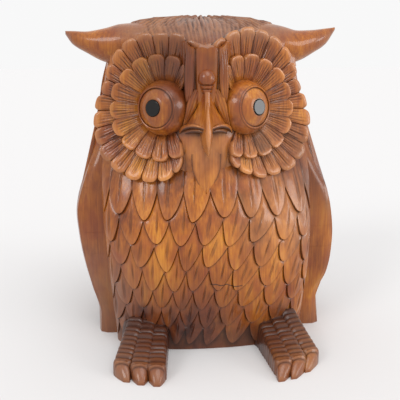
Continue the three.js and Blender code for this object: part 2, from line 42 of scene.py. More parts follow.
bpy.ops.object.select_all(action="DESELECT")

# The block: belly in front, a folded wing along each side, the back and the crown, under one coat of
# feathers. It is a single piece of hardwood, sawn roughly round, then cut feather by feather with a gouge
# and a V tool.
HEIGHT = 300
OFF_MIDDLE = -2
AXIS_Y = 25
FACE_X = -3.5
CROWN_Z = 268
CROWN_WIDE = 84
CROWN_DEEP = 58
BACK_SQUARENESS = 2.35
BREAST_COVERED = 182
BREAST_TIPS = [BREAST_COVERED, 129, 106, 84.5, 64, 45, 27, 8]
BACK_TIPS = [232, 208, 184, 160, 136, 112, 88, 7]
BREAST_FEATHERS = 9
FLANK_FEATHERS = 2
BACK_FEATHERS = 5
FEATHER_LIFT = 2.8
BREAST_LIFT = 2.2
BREAST_START = 190
BACK_START = 262
LONGEST_POINT = 24
POINT_ROUND = 1.95
LEAN = 0.0027
LEAN_START = 140
FLANK = 2 * (BREAST_FEATHERS + FLANK_FEATHERS) / BREAST_FEATHERS - 1
BEHIND = 0.05


def weights(t):
    """What both ends and both slopes count for, part way along a smooth curve between two values."""
    s, c = t * t, t * t * t
    return 2 * c - 3 * s + 1, c - 2 * s + t, 3 * s - 2 * c, c - s


def profile(pairs):
    """A smooth curve through a few (place, value) pairs."""
    place, value = np.array(pairs, float).T
    last = len(place) - 1
    before = np.maximum(np.arange(last + 1) - 1, 0)
    after = np.minimum(np.arange(last + 1) + 1, last)
    slope = (value[after] - value[before]) / (place[after] - place[before])

    def curve(at):
        at = np.asarray(at, float)
        i = np.clip(np.searchsorted(place, at) - 1, 0, last - 1)
        span = place[i + 1] - place[i]
        p, q, r, s = weights(np.clip((at - place[i]) / span, 0, 1))
        return p * value[i] + q * span * slope[i] + r * value[i + 1] + s * span * slope[i + 1]

    return curve


belly_half = profile([(0, 86), (40, 89), (100, 94), (150, 96), (190, 93), (240, 89), (268, 84)])
belly_half_left = profile([(0, 93), (40, 96), (100, 99.5), (150, 99), (190, 95), (240, 89), (268, 84)])
belly_front = profile(
    [(0, -44), (30, -51), (70, -56), (110, -57), (140, -54), (165, -49), (190, -44), (230, -42), (268, -43)]
)
belly_squareness = profile([(0, 2.3), (100, 2.3), (150, 1.6), (180, 1.2), (230, 1.1), (268, 1.08)])
wing_right = profile(
    [(0, 103), (25, 102.5), (45, 108), (76, 115), (105, 119), (130, 119.5), (162, 110), (181, 103), (205, 97),
     (240, 93), (268, 86)]
)
wing_left = profile(
    [(0, 119), (12, 116), (36, 116), (55, 124), (75, 127.5), (105, 127.5), (142, 120.5), (160, 111),
     (180, 103), (205, 96), (240, 92), (268, 86)]
)
wing_front = profile([(0, 0), (60, -4), (120, -6), (165, -2), (190, 5), (230, 9), (268, 10)])
back_reach = profile(
    [(0, 95), (25, 94), (70, 98), (115, 104), (150, 106), (190, 102), (225, 94), (250, 85), (268, 76)]
)


def bow(share, power):
    """The height of a rounded bow at a share of its half width: 1 in the middle, 0 at its ends."""
    return np.maximum(0, 1 - np.abs(share) ** power) ** (1 / power)


def smooth(value, low, high):
    """0 below low, 1 above high, and an S-curve between."""
    t = np.clip((value - low) / (high - low), 0, 1)
    return t * t * (3 - 2 * t)


def ridge(value, width):
    """A smooth hump, 1 high at 0."""
    return np.exp(-((value / width) ** 2))


def by_length(curve, high, share):
    """The point at a share of the length of each curve, whose parameter runs from 0 to high."""
    steps = np.linspace(0, 1, 49)
    points = curve(high[:, None] * steps)
    length = np.cumsum(np.linalg.norm(np.diff(points, axis=1), axis=2), axis=1)
    length = np.concatenate([np.zeros((len(length), 1)), length], axis=1)
    goal = share * length[:, -1]
    i = np.clip((length < goal[:, None]).sum(1) - 1, 0, len(steps) - 2)
    rows = np.arange(len(length))
    t = (goal - length[rows, i]) / (length[rows, i + 1] - length[rows, i])
    at = high * (steps[i] + (steps[i + 1] - steps[i]) * t)
    return curve(at[:, None])[:, 0]


def bare(u, z):
    """Points on the bare block. Round the body, u is 0 down the middle of the breast, 1 at the belly's
    edge, 2 at the wing's front edge and 3 down the spine, and negative on the owl's right."""
    u = (u + 3) % 6 - 3
    side = np.where(u < 0, -1.0, 1.0)
    far = np.abs(u)
    half = np.where(u < 0, belly_half(z), belly_half_left(z))
    front = wing_front(z)
    wide = np.where(u < 0, wing_right(z), wing_left(z))
    edge = front - 8
    place = np.zeros((len(u), 2))

    def belly(rows):
        def curve(x):
            y = edge[rows, None] + (belly_front(z[rows]) - edge[rows])[:, None] * bow(
                x / half[rows, None], belly_squareness(z[rows])[:, None]
            )
            return np.stack([x, y], -1)

        return curve

    def back(rows):
        def curve(turn):
            c = np.maximum(np.cos(turn), 0) ** (2 / BACK_SQUARENESS)
            s = np.sin(turn) ** (2 / BACK_SQUARENESS)
            start = front[rows, None] + 9
            return np.stack([wide[rows, None] * c, start + (back_reach(z[rows])[:, None] - start) * s], -1)

        return curve

    rows = far <= 1
    if rows.any():
        place[rows] = by_length(belly(rows), half[rows] * 0.99, far[rows])
    rows = far >= 2
    if rows.any():
        place[rows] = by_length(back(rows), np.full(rows.sum(), math.pi / 2), far[rows] - 2)
    rows = (far > 1) & (far < 2)
    if rows.any():
        h, w, f = half[rows], wide[rows] - 1.5, front[rows]
        belly_edge = belly(rows)((h * 0.99)[:, None])[:, 0]
        stops = np.array([1, 1.2, 1.75, 1.93, 2])
        xs = np.stack([h * 0.99, h - 1, w - 6, w, w + 1.5])
        ys = np.stack([belly_edge[:, 1], f - 1, f - 0.5, f + 3, f + 9])
        i = np.clip(np.searchsorted(stops, far[rows]) - 1, 0, 3)
        t = (far[rows] - stops[i]) / (stops[i + 1] - stops[i])
        n = np.arange(len(t))
        place[rows, 0] = xs[i, n] + (xs[i + 1, n] - xs[i, n]) * t
        place[rows, 1] = ys[i, n] + (ys[i + 1, n] - ys[i, n]) * t
    return np.column_stack([side * place[:, 0], place[:, 1], z])


def lifted(u, z, off):
    """Points off the bare block, straight out from it."""
    du, dz = 0.02, 2
    sideways = bare(u + du, z) - bare(u - du, z)
    rise = bare(u, z + dz) - bare(u, z - dz)
    out = np.cross(sideways, rise)
    return bare(u, z) + out / np.linalg.norm(out, axis=1, keepdims=True) * off[:, None]


def ring(x, y, z):
    """Rows of three, such as a ring's points: each column is a list or one number for all the rows."""
    return np.column_stack(np.broadcast_arrays(x, y, z))


def uneven(*seeds):
    """A small repeatable unevenness, from -1 to 1, as a hand leaves it."""
    total = 4.7 + sum(np.asarray(n, float) * (12.9898 + 7.31 * i) for i, n in enumerate(seeds))
    s = np.sin(total) * 43758.5453
    return 2 * (s - np.floor(s)) - 1


def piece(name, rings, cut_stain_and_shade=0.0, tint=0.5, wash=0.0, rubbed_and_highlit=0.0):
    """A closed mesh skinned over rings of points, flat at both ends. Its corners carry four marks of the
    finish: stain left in the cuts together with painted shade in hollows, under lips and on undersides, the
    tint of each feather, the dark wash of the feet, and edges rubbed lighter together with painted highlights
    on rims, ridges and tops."""
    rings = np.asarray(rings, float) + [OFF_MIDDLE, 0, 0]
    count, around = rings.shape[:2]
    points = np.concatenate([rings.reshape(-1, 3), rings[0].mean(0)[None], rings[-1].mean(0)[None]])
    i = np.arange(around)
    j = (i + 1) % around
    rows = np.arange(count - 1)[:, None] * around
    quads = np.stack([rows + i, rows + j, rows + around + j, rows + around + i], -1).reshape(-1, 4)
    low, high = count * around, count * around + 1
    top = (count - 1) * around
    caps = np.concatenate([ring(low, j, i), ring(high, top + i, top + j)])
    triangles = np.concatenate([quads[:, [0, 1, 2]], quads[:, [0, 2, 3]], caps])
    a, b, c = points[triangles[:, 0]], points[triangles[:, 1]], points[triangles[:, 2]]
    if np.einsum("ij,ij->i", a, np.cross(b, c)).sum() < 0:
        quads, caps = quads[:, ::-1], caps[:, ::-1]
    mesh = bpy.data.meshes.new(name)
    mesh.from_pydata((points * MM).tolist(), [], quads.tolist() + caps.tolist())

    def full(value):
        value = np.broadcast_to(np.asarray(value, float), (count, around)).reshape(-1)
        return np.concatenate([value, [value[:around].mean(), value[-around:].mean()]])

    marks = np.column_stack([full(cut_stain_and_shade), full(tint), full(wash), full(rubbed_and_highlit)])
    corner = np.zeros(len(mesh.loops), int)
    mesh.loops.foreach_get("vertex_index", corner)
    layer = mesh.attributes.new("carving", "FLOAT_COLOR", "CORNER")
    layer.data.foreach_set("color", marks[corner].astype(np.float32).ravel())
    made = bpy.data.objects.new(name, mesh)
    bpy.context.scene.collection.objects.link(made)
    return made


# Parts of half a feather at which the skin has a line, close together beside the shaft and at the edges
BREAST_PARTS = [0, 0.04, 0.08, 0.12, 0.165, 0.22, 0.32, 0.46, 0.62, 0.77, 0.85, 0.9, 0.94, 0.97]
BACK_PARTS = [0, 0.08, 0.2, 0.35, 0.5, 0.65, 0.8, 0.92]
# Shares of a feather's length at which it has a ring, close together at its root and its lip
LENGTHS = [0, 0.04, 0.12, 0.23, 0.34, 0.45, 0.56, 0.67, 0.78, 0.88, 0.95, 1.0]
SIDE_LINES = [1.06, 1.12, 1.2, 1.38, 1.56, 1.75, 1.84, 1.93, 1.97]
SHAFT_DEEP = 1.0
STREAK_PART = 0.46
STREAK_DEEP = 0.75
EDGE_DEEP = 0.75
RAGGED = 2.6
RAGGED_SHARE = 0.12
LIP_SWAY = 0.034
# The gouge's hollow along a shaft, in shares of half a feather's width and of its length
GOUGE_HALF = 0.085
GOUGE_HALF_VARIES = 0.035
GOUGE_OFF = 0.06
GOUGE_FROM = 0.3
GOUGE_TO = 0.84
GOUGE_ENDS_VARY = 0.07
BREAST, WING_AND_BACK, PLAIN = 0, 1, 3


def coat_lines():
    """Every line of the coat: its u, its part across half a feather, its half feather's number and its
    region."""
    lines = []

    def feathered(start, end, count, parts, region):
        half = (end - start) / count / 2
        for k in range(2 * count):
            for part in parts:
                lines.append((start + (k + part) * half, part, k, region))

    feathered(-1, FLANK, BREAST_FEATHERS + FLANK_FEATHERS, BREAST_PARTS, BREAST)
    lines.extend((u, 0, 0, PLAIN) for u in SIDE_LINES)
    feathered(2, 3, BACK_FEATHERS, BACK_PARTS, WING_AND_BACK)
    feathered(-3, -2, BACK_FEATHERS, BACK_PARTS, WING_AND_BACK)
    lines.extend((-u, 0, 0, PLAIN) for u in [2] + SIDE_LINES[::-1])
    return np.array(lines)


line_u, line_part, half_number, region = coat_lines().T
half_number = half_number.astype(int)
breast, plain, at_back = region == BREAST, region == PLAIN, region == WING_AND_BACK
keep = np.where(at_back, np.clip((np.abs(line_u) - 2) / 0.12, 0, 1), np.where(breast, 1.0, 0.0))
seed = np.where(breast, 1, np.where(line_u > 0, 2, 3))


def lean(u, z):
    """The breast's feathers lean below the upper rows, their points towards the owl's right, more so on
    its left. More of them come in there from behind the belly's edge, and those behind it lie close
    together along it."""
    share = smooth(u, -0.95, 0.5)
    drop = np.maximum(0, LEAN_START - z)
    leant = u - LEAN * share * drop * np.minimum(1, 0.35 + drop / 60)
    return np.where(breast & (leant > 1), 1 + BEHIND * (leant - 1) / (FLANK - 1), np.where(breast, leant, u))


def coat():
    """The rings of the coat from the top down, with the marks of the finish: each row of feathers rises
    from its root under the row above to its lip, hollowed along the shaft and cut in at its edges."""
    rings, cut_stain_and_shade, tints, rubs_and_highlights = [], [], [], []
    start = np.where(breast, BREAST_START, BACK_START).astype(float)
    above_u, above_z, plain_above = line_u, start, BREAST_START
    for row, (breast_tip, back_tip) in enumerate(zip(BREAST_TIPS, BACK_TIPS)):
        tip = np.where(breast, breast_tip, back_tip).astype(float)
        gap = np.where(breast, BREAST_TIPS[row - 1], BACK_TIPS[row - 1]) - tip if row else start - tip
        covered = breast & (row == 0)
        first = row == np.where(breast, 1, 0)
        here = (half_number + row + breast) % 2 == 0
        feather = np.where(here, half_number, half_number + 1)
        across = np.where(here, line_part, line_part - 1)
        reach = np.abs(across)
        own = 1 - reach
        ragged = np.minimum(RAGGED, RAGGED_SHARE * gap) * uneven(feather, row, seed) * own * ~covered
        deep = np.minimum(0.94 * gap, LONGEST_POINT) * ~covered
        lip_z = np.maximum(np.minimum(tip + deep * reach**POINT_ROUND + ragged, above_z - 1.2), 1.2)
        lip_u = line_u + LIP_SWAY * uneven(row, feather, seed + 7) * own * keep
        plain_z = BREAST_START * (1 - (row + 1) / (len(BREAST_TIPS) + 1))
        lip_z = np.where(plain, plain_z, lip_z)
        root_z = np.where(plain, plain_above, above_z)
        turned = 0.5 * uneven(feather, row, seed + 2) * across
        gouge_half = GOUGE_HALF + GOUGE_HALF_VARIES * uneven(feather, row, 11)
        gouge_from = GOUGE_FROM + GOUGE_ENDS_VARY * uneven(feather, row, 12)
        gouge_to = GOUGE_TO + GOUGE_ENDS_VARY * uneven(feather, row, 13)
        gouge_at = across - GOUGE_OFF * uneven(feather, row, 14)
        streak_at = np.where(uneven(feather, row, 15) > 0, STREAK_PART, -STREAK_PART)
        streaked = (0.4 + 0.6 * smooth(line_u, -0.2, 0.5)) * smooth(uneven(feather, row, 16), -0.7, 0.2)
        tint = 0.5 + 0.25 * uneven(feather, row, seed + 4) * keep
        for t in LENGTHS:
            u = above_u + (lip_u - above_u) * t
            z = root_z + (lip_z - root_z) * t
            seen = keep * np.where(breast, smooth(1 - np.abs(lean(u, z)), 0, 0.11), 1) * ~covered
            rise = np.sin(t * math.pi / 2) ** 0.8
            body = np.where(breast, BREAST_LIFT, FEATHER_LIFT) * (1 - 0.62 * reach**1.6) * rise
            rooted = 0.5 * (1 - t) ** 4 * ~first
            along = np.sin(math.pi * np.clip((t - gouge_from) / (gouge_to - gouge_from), 0, 1)) ** 0.6
            hollow = breast * smooth(gouge_half * along - np.abs(gouge_at), -0.035, 0.02) * along
            walls = breast * ridge(np.abs(gouge_at) - gouge_half * along, 0.03) * along
            streak = breast * ridge(across - streak_at, 0.06) * streaked
            streak = streak * np.sin(math.pi * np.clip((t - gouge_from) / 0.45, 0, 1)) ** 0.5
            fade_in = np.where(first & breast, smooth(t, 0.05, 0.5), 1)
            edge = EDGE_DEEP * ridge(1 - reach, 0.05) * (1 - t) * fade_in
            off = body - rooted - SHAFT_DEEP * hollow - STREAK_DEEP * streak - edge + turned * t
            rings.append(lifted(lean(u, z), z, off * seen))
            # Painted shade just below the lip of the row above, beside the stain in the shaft's hollow, the
            # streaks and the edge cuts. Near its own lip each feather is painted lighter, part rubbed wear
            # and part painted highlight.
            under = np.exp(-((t / 0.06) ** 2)) * ~first
            border = ridge(1 - reach, 0.06) * (1 - 0.5 * t) * fade_in
            stain_and_shade_marks = [0.85 * under, 0.6 * walls, 0.42 * hollow, 0.55 * streak, 0.75 * border]
            cut_stain_and_shade.append(np.maximum.reduce(stain_and_shade_marks) * seen)
            tints.append(tint - 0.55 * reach**3 * keep)
            rubs_and_highlights.append(seen * 0.35 * smooth(t, 0.8, 0.95) * (0.4 + 0.6 * reach))
        # Under each lip the skin turns in, and that ring is painted fully dark as shade.
        under_z = np.maximum(lip_z - 0.25, 0.9)
        rings.append(lifted(lean(lip_u, lip_z), under_z, -0.6 * seen))
        cut_stain_and_shade.append(seen)
        tints.append(tint)
        rubs_and_highlights.append(0 * seen)
        above_u, above_z, plain_above = lip_u, under_z, plain_z
    rings.append(bare(lean(above_u, 0 * above_u), np.zeros(len(above_u))))
    cut_stain_and_shade.append(0.12 + 0 * tint)
    tints.append(tint)
    rubs_and_highlights.append(0 * tint)
    return rings, cut_stain_and_shade, tints, rubs_and_highlights


def crown_ring(level, share):
    """A ring of the block drawn in over the top of the head: share is 0 at its widest and 1 at the very
    top."""
    wide = max(bow(share, 3.3), 0.3)
    deep = max(bow(share, 1.6), 0.15)
    turn = np.arctan2((level[:, 1] - AXIS_Y) / CROWN_DEEP, level[:, 0] / CROWN_WIDE)
    x = level[:, 0] + (CROWN_WIDE * np.cos(turn) - level[:, 0]) * share
    y = level[:, 1] - AXIS_Y
    y = y + (CROWN_DEEP * np.sin(turn) - y) * share
    return ring(x * wide, AXIS_Y + y * deep, CROWN_Z + (HEIGHT - CROWN_Z) * share)


def crown_out(points):
    """The way straight out of the crown at some points."""
    out = (points - [0, AXIS_Y, CROWN_Z - 14]) / np.square([CROWN_WIDE, CROWN_DEEP, 46])
    return out / np.linalg.norm(out, axis=1, keepdims=True)


CROWN_SHARES = [1, 0.95, 0.88, 0.8, 0.7, 0.58, 0.45, 0.32, 0.18, 0.06]
CUT_DEEP = 1.0
rings, cut_stain_and_shade, tints, rubs_and_highlights = coat()
level = np.full(len(line_u), float(CROWN_Z))
widest = bare(lean(line_u, level), level)
hatched = np.where(np.arange(len(line_u)) % 3 == 0, 1.0, 0.0) * at_back
crown = [crown_ring(widest, share) for share in CROWN_SHARES]
crown = [points - crown_out(points) * (0.4 + CUT_DEEP * hatched)[:, None] for points in crown]
neck = lifted(lean(line_u, level), level, -0.4 - 0.8 * hatched)
start = np.where(breast, BREAST_START, BACK_START).astype(float)
collar = lifted(lean(line_u, start), start + 3, 0 * start)
above = len(crown) + 2
rings = crown + [neck, collar] + rings
cut_stain_and_shade = [0.1 + 0.55 * hatched] * (above - 1) + [0.15 + 0 * hatched] + cut_stain_and_shade
tints = [0.35 + 0 * hatched] * above + tints
rubs_and_highlights = [0 * hatched] * above + rubs_and_highlights
owl = piece("carved_owl_wood", rings[::-1], cut_stain_and_shade[::-1], tints[::-1], 0, rubs_and_highlights[::-1])

# The crown's down: short strokes of a V tool over the front of the head, spreading upwards from the brow,
# in uneven lengths, with the top of the head left as a row of small locks.
CROWN_LINES = 360
STROKE_GAP = 3.6
STROKE_LONG = 16
STROKE_DEEP = 1.7
STROKES_FROM_Z = 165
LOCK_GAP = 5.5
LOCK_HIGH = 2.1
shares = np.concatenate([[-0.35, -0.15], np.linspace(0, 1, 18)])
cap_u = np.linspace(-1, 1, CROWN_LINES)
outer, marks = [], []
for share in shares:
    z = np.full(CROWN_LINES, CROWN_Z + (HEIGHT - CROWN_Z) * min(share, 0))
    points = bare(cap_u, z)
    if share > 0:
        points = crown_ring(points, share)
    spread = np.arctan2(points[:, 0] - FACE_X, points[:, 2] - STROKES_FROM_Z)
    stroke = spread * (CROWN_Z + 18 - STROKES_FROM_Z) / STROKE_GAP
    number = np.round(stroke)
    climbed = np.hypot(points[:, 1] - belly_front(CROWN_Z), points[:, 2] - CROWN_Z)
    along = (climbed + STROKE_LONG * uneven(number)) / STROKE_LONG
    depth = 0.65 + 0.35 * uneven(number, np.floor(along))
    cut = ridge(stroke - number + 0.22 * uneven(number, np.floor(along), 2), 0.25) * depth
    cut = cut * np.sin(math.pi * (along - np.floor(along))) ** 0.4
    lock = bow(2 * (stroke * STROKE_GAP / LOCK_GAP % 1) - 1, 2.0) * smooth(share, 0.5, 0.9)
    front = smooth(75 - np.abs(points[:, 0]), 0, 14)
    off = 0.1 + (LOCK_HIGH * lock - STROKE_DEEP * cut) * front
    outer.append(points + crown_out(points) * off[:, None])
    marks.append(np.maximum(0.95 * cut, 0.1 * lock) * front + 0.05)
inner = [outer[n] - crown_out(outer[n]) * 7 for n in (len(outer) - 1, len(outer) // 2, 0)]
cap_rings = np.array(outer + inner).swapaxes(0, 1)
cap_stain_and_shade = np.array(marks + [marks[-1]] * 3).T
carved = []


def carve(*part):
    """Adds one more carved part, to be united with the block."""
    carved.append(piece(*part))


# The ridges between the strokes are painted lighter, part rubbed wear and part painted highlight.
carve("crown_down", cap_rings, cap_stain_and_shade, 0.3, 0, 0.5 * (1 - cap_stain_and_shade) ** 3)

# Tail: three long feathers down the middle of the back, reaching nearly to the ground. They are cut in the
# same block, each with a quill down its middle and slanting barbs from a V tool.
TAIL_TOP = 82
TAIL_FEATHERS = [(-17, 1, 11), (17, 1, 11), (0, 0.8, 12)]


def finer(rows, steps, closed=False, sharp=()):
    """More rows between the given ones, on a smooth curve through them that turns hard at the sharp
    rows."""
    rows = np.asarray(rows, float)
    n = len(rows)
    made = []
    for i in range(n if closed else n - 1):
        a, b = rows[i], rows[(i + 1) % n]
        before = rows[i - 1] if closed or i > 0 else a
        after = rows[(i + 2) % n] if closed or i + 2 < n else b
        start = (b - a) if i in sharp else (b - before) / 2
        end = (b - a) if (i + 1) % n in sharp else (after - a) / 2
        for t in np.arange(steps) / steps:
            p, q, r, s = weights(t)
            made.append(p * a + q * start + r * b + s * end)
    if not closed:
        made.append(rows[-1])
    return np.array(made)


def around(rings, steps, sharp=()):
    """The same, round each ring."""
    return finer(np.asarray(rings, float).swapaxes(0, 1), steps, closed=True, sharp=sharp).swapaxes(0, 1)


TAIL_STEPS = 8
for n, (from_spine, tip, half) in enumerate(TAIL_FEATHERS):
    rings = []
    for v in (0, 0.5, 0.85, 1):
        z = TAIL_TOP - (TAIL_TOP - tip) * v
        y = back_reach(z) + 0.4 + 3.4 * v + (0 if from_spine else 1.8)
        wide = half * (1 - 0.35 * v * v)
        x = from_spine * (1 + 0.12 * v)
        rings.append([(x - wide, y - 1.4, z), (x, y, z), (x + wide, y - 1.4, z), (x + wide, y - 12, z),
                      (x - wide, y - 12, z)])
    rings = around(finer(rings, 9), TAIL_STEPS, sharp=(0, 2, 3, 4))
    share = np.arange(rings.shape[1]) / TAIL_STEPS
    quill = ridge(share - 1, 0.12)
    row = np.arange(rings.shape[0])[:, None]
    barb = ridge((share * TAIL_STEPS + 2 * row) % 5 - 2.5, 1.0) * (share < 2) * (1 - quill)
    rings[:, :, 1] -= 0.9 * quill + 0.35 * barb
    carve(f"tail_feather_{n}", rings, 0.1 + np.maximum(0.7 * quill, 0.5 * barb), 0.4)

# Facial discs: each is a dished plate with two rings of round-ended petals, lined with a fine V tool from
# the eye outwards, short of the rim. Angles run from straight out (0) up to the crown (90).
EYE_OUT = 33.4
EYE_BACK = -33
EYE_Z = 223
DISC_OUT = 36
DISC_TURN = 26
DISC_TILT = 7
DISC_DISHED_AT = 63
DISC_INNER = 23
DISC_DISH = 7
PLATE_DEEP = 36
INNER_OUT = 47
INNER_UP = 45
BARBS = 6
BARB_DEEP = 0.9
PETAL_LINES = 26
OUTER_FAN = dict(count=17, start=126, end=-120, lift=4, notch=3.6, bluntness=3.2)
INNER_FAN = dict(count=12, start=140.3, end=-127, lift=7, notch=4.4, bluntness=3.2)
# Shares of a petal's length at which it has a ring, and how high its face stands there
PETAL_RISE = [(0.42, -0.3), (0.5, 0.2), (0.6, 0.6), (0.7, 0.83), (0.79, 0.94), (0.86, 0.99), (0.91, 1.03),
              (0.95, 1.12), (0.98, 1.07), (1, 0.84)]
DISC_EDGE = {
    -1: profile([(-120, 46), (-110, 56.6), (-95, 62.3), (-75, 65.5), (-50, 68), (-25, 66), (0, 60.3),
                 (17, 57.3), (40, 60.8), (60, 64), (90, 63), (125, 63.7)]),
    1: profile([(-120, 46), (-110, 54), (-95, 58.5), (-75, 64.5), (-42, 70.6), (-15, 66.6), (10, 60.3),
                (25, 59), (50, 64.2), (85, 67.2), (125, 64)]),
}
SIDES = ((-1, "right"), (1, "left"))


def disc_place(side):
    """Places on the disc by radius, angle and height off the dish."""
    turn, tilt = math.radians(DISC_TURN), math.radians(DISC_TILT)
    middle = np.array([side * DISC_OUT + FACE_X, EYE_BACK, EYE_Z])
    out = np.array([side * math.cos(turn), math.sin(turn), 0])
    level = math.cos(tilt)
    face = np.array([side * math.sin(turn) * level, -math.cos(turn) * level, math.sin(tilt)])
    up = np.cross(face, out) * side
    up = up / np.linalg.norm(up) * np.sign(up[2])

    def place(radius, angle, off):
        dish = DISC_DISH * (radius / DISC_DISHED_AT) ** 2 - 1
        a = np.radians(angle)
        return (
            middle
            + np.multiply.outer(radius * np.cos(a), out)
            + np.multiply.outer(radius * np.sin(a), up)
            + np.multiply.outer(dish + off, face)
        )

    return place


def cut_straight(angle, reach):
    """On the side towards the beak both rings of petals are cut straight, the outer ring only below."""
    across = np.cos(np.radians(angle))
    return np.where(across < 0, np.minimum(reach, DISC_INNER / np.maximum(-across, 1e-6)), reach)


def outer_edge(side, angle):
    """The disc's edge as it was drawn on the block."""
    edge = DISC_EDGE[side](angle)
    return np.where(angle < 0, cut_straight(angle, edge), edge)


def inner_edge(side, angle):
    """The edge of the inner petals: an even oval round the eye."""
    a = np.radians(angle)
    return cut_straight(angle, 1 / np.hypot(np.cos(a) / INNER_OUT, np.sin(a) / INNER_UP))


def fan(name, side, edge, count, start, end, lift, notch, bluntness):
    """Carves a ring of petals, each a rounded tongue with its barbs cut into it."""
    place = disc_place(side)
    step = (start - end) / count
    k = np.append(np.repeat(np.arange(count), PETAL_LINES), count - 1)
    part = np.append(np.tile(np.arange(PETAL_LINES) / PETAL_LINES, count), 1.0)
    swayed = part + 0.03 * np.sin(2 * math.pi * part) * uneven(k, 21) + 0.012 * np.sin(6 * math.pi * part)
    angle = start - step * (k + swayed)
    middle = np.abs(2 * part - 1)
    tip = edge(side, angle) - notch * middle**bluntness + 0.8 * uneven(side, k, count)
    number = np.floor(part * BARBS)
    barb = (0.5 - 0.5 * np.cos(2 * math.pi * BARBS * part)) * (middle < 0.93)
    barb = barb * (0.7 + 0.3 * uneven(k, number, 5))
    stops_at = 0.945 - 0.08 * np.abs(uneven(k, number, 6)) - 0.03 * middle**2
    starts_at = 0.44 + 0.16 * np.abs(uneven(k, number, 7))
    between = ridge(1 - middle, 0.045)
    tipped = 0.6 * uneven(k, count, 9) * (2 * part - 1)
    rings, cut_stain_and_shade, rubs_and_highlights = [], [], []
    for r, height in PETAL_RISE:
        lined = barb * np.clip((stops_at - r) / 0.03, 0, 1) * np.clip((r - starts_at) / 0.1, 0, 1)
        off = lift * height - 0.8 * middle**4 - 0.9 * between * (0.35 + 0.65 * r) - BARB_DEEP * lined + tipped
        rings.append(place(tip * r, angle, off))
        # Painted shade on the inner part of each petal, where it lies under the next ring of petals, the eye
        # or the brow.
        hidden = 0.5 * smooth(-r, -0.52, -0.44)
        cut_stain_and_shade.append(np.maximum.reduce([0.85 * between, 0.85 * lined, hidden + 0 * between]))
        # The rim is painted lighter, part rubbed wear and part painted highlight, outside the barbs and gaps.
        rubs_and_highlights.append((0.12 + 0.75 * smooth(r, 0.93, 0.965)) * (1 - lined) * (1 - between))
    rings.append(place(tip - 0.7, angle, np.full(len(angle), -3.0)))
    cut_stain_and_shade.append(np.ones_like(angle))
    rubs_and_highlights.append(np.zeros_like(angle))
    rings, cut_stain_and_shade, rubs_and_highlights = (np.array(rows).swapaxes(0, 1) for rows in (rings, cut_stain_and_shade, rubs_and_highlights))
    tint = 0.55 + 0.4 * uneven(k, count, 2) - 0.4 * middle**4
    carve(name, rings, cut_stain_and_shade, tint[:, None], 0, rubs_and_highlights)


# Shares of the disc's reach and heights off its dish, from the middle of the back round to the front's
PLATE = [(0, -PLATE_DEEP), (0.5, -PLATE_DEEP), (0.88, -PLATE_DEEP), (0.92, -6), (0.91, 0.4), (0.5, 0.4),
         (0, 0.4)]
plate_turns = np.linspace(-160, 150, 56)
for side, word in SIDES:
    place = disc_place(side)
    reach = outer_edge(side, plate_turns) * (1 - 0.55 * np.clip((np.abs(plate_turns) - 110) / 15, 0, 1))
    rings = [place(max(share, 0.01) * reach, plate_turns, np.full(len(reach), off)) for share, off in PLATE]
    # The plate shows only in the deep gaps between the petals, and is painted dark all over: stain and
    # painted shade.
    carve(f"{word}_disc_plate", rings, 0.8, 0.4)
    fan(f"{word}_outer_petals", side, outer_edge, **OUTER_FAN)
    fan(f"{word}_inner_petals", side, inner_edge, **INNER_FAN)

# Brow: a plain upright panel between the discs, part of the block. It is grooved down both sides, with a
# long petal lined by the V tool beside each groove, and its top edge is cut into shallow lobes.
BROW_PANEL = 9.5
BROW_HALF = 25
BROW_FALLS = 17
BROW_FOOT = 222
BROW_TOP = 273
BROW_LINES_APART = 1.9
LOBE_WIDE = 9.5
LOBE_HIGH = 1.2
x = np.linspace(-BROW_HALF, BROW_HALF, 121)
far = np.abs(x)
petal = smooth(far, BROW_PANEL, BROW_PANEL + 1)
groove = np.clip(ridge(far - BROW_PANEL, 0.8) + (far > BROW_HALF - 0.5), 0, 1)
lined = (0.5 - 0.5 * np.cos(2 * math.pi * (far - BROW_PANEL) / BROW_LINES_APART)) ** 2 * petal
front = -55.5 + 0.5 * np.maximum(0, far - 6) + 1.4 * np.maximum(0, far - BROW_FALLS)
lobes = LOBE_HIGH * np.abs(np.sin(math.pi * x / LOBE_WIDE)) * (1 - petal)
top = BROW_TOP + 0.09 * np.maximum(0, np.minimum(far, BROW_FALLS) - BROW_PANEL) ** 2 - groove + lobes
rings, cut_stain_and_shade = [], []
for t in np.linspace(0, 1, 13):
    z = BROW_FOOT + (top - BROW_FOOT) * t
    fade = min(1, (1 - t) * 8)
    depth = front + 5 * (1 - t) ** 1.6 + 1.2 * groove + 0.55 * lined * fade
    rings.append(ring(x * (0.8 + 0.2 * min(1, t * 2)), depth, z))
    cut_stain_and_shade.append(np.maximum(0.9 * groove, 0.65 * lined * fade))
for off, low in ((0.8, 0.1), (2.5, -1), (24, -3)):
    rings.append(ring(x, front + off + groove, top - low))
    cut_stain_and_shade.append(0.5 * groove)
rings.append(ring(x * 0.8, front + 26, BROW_FOOT))
cut_stain_and_shade.append(groove)
carve("brow_panel", np.array(rings).swapaxes(0, 1) + [FACE_X, 0, 0], np.array(cut_stain_and_shade).T, 0.7)

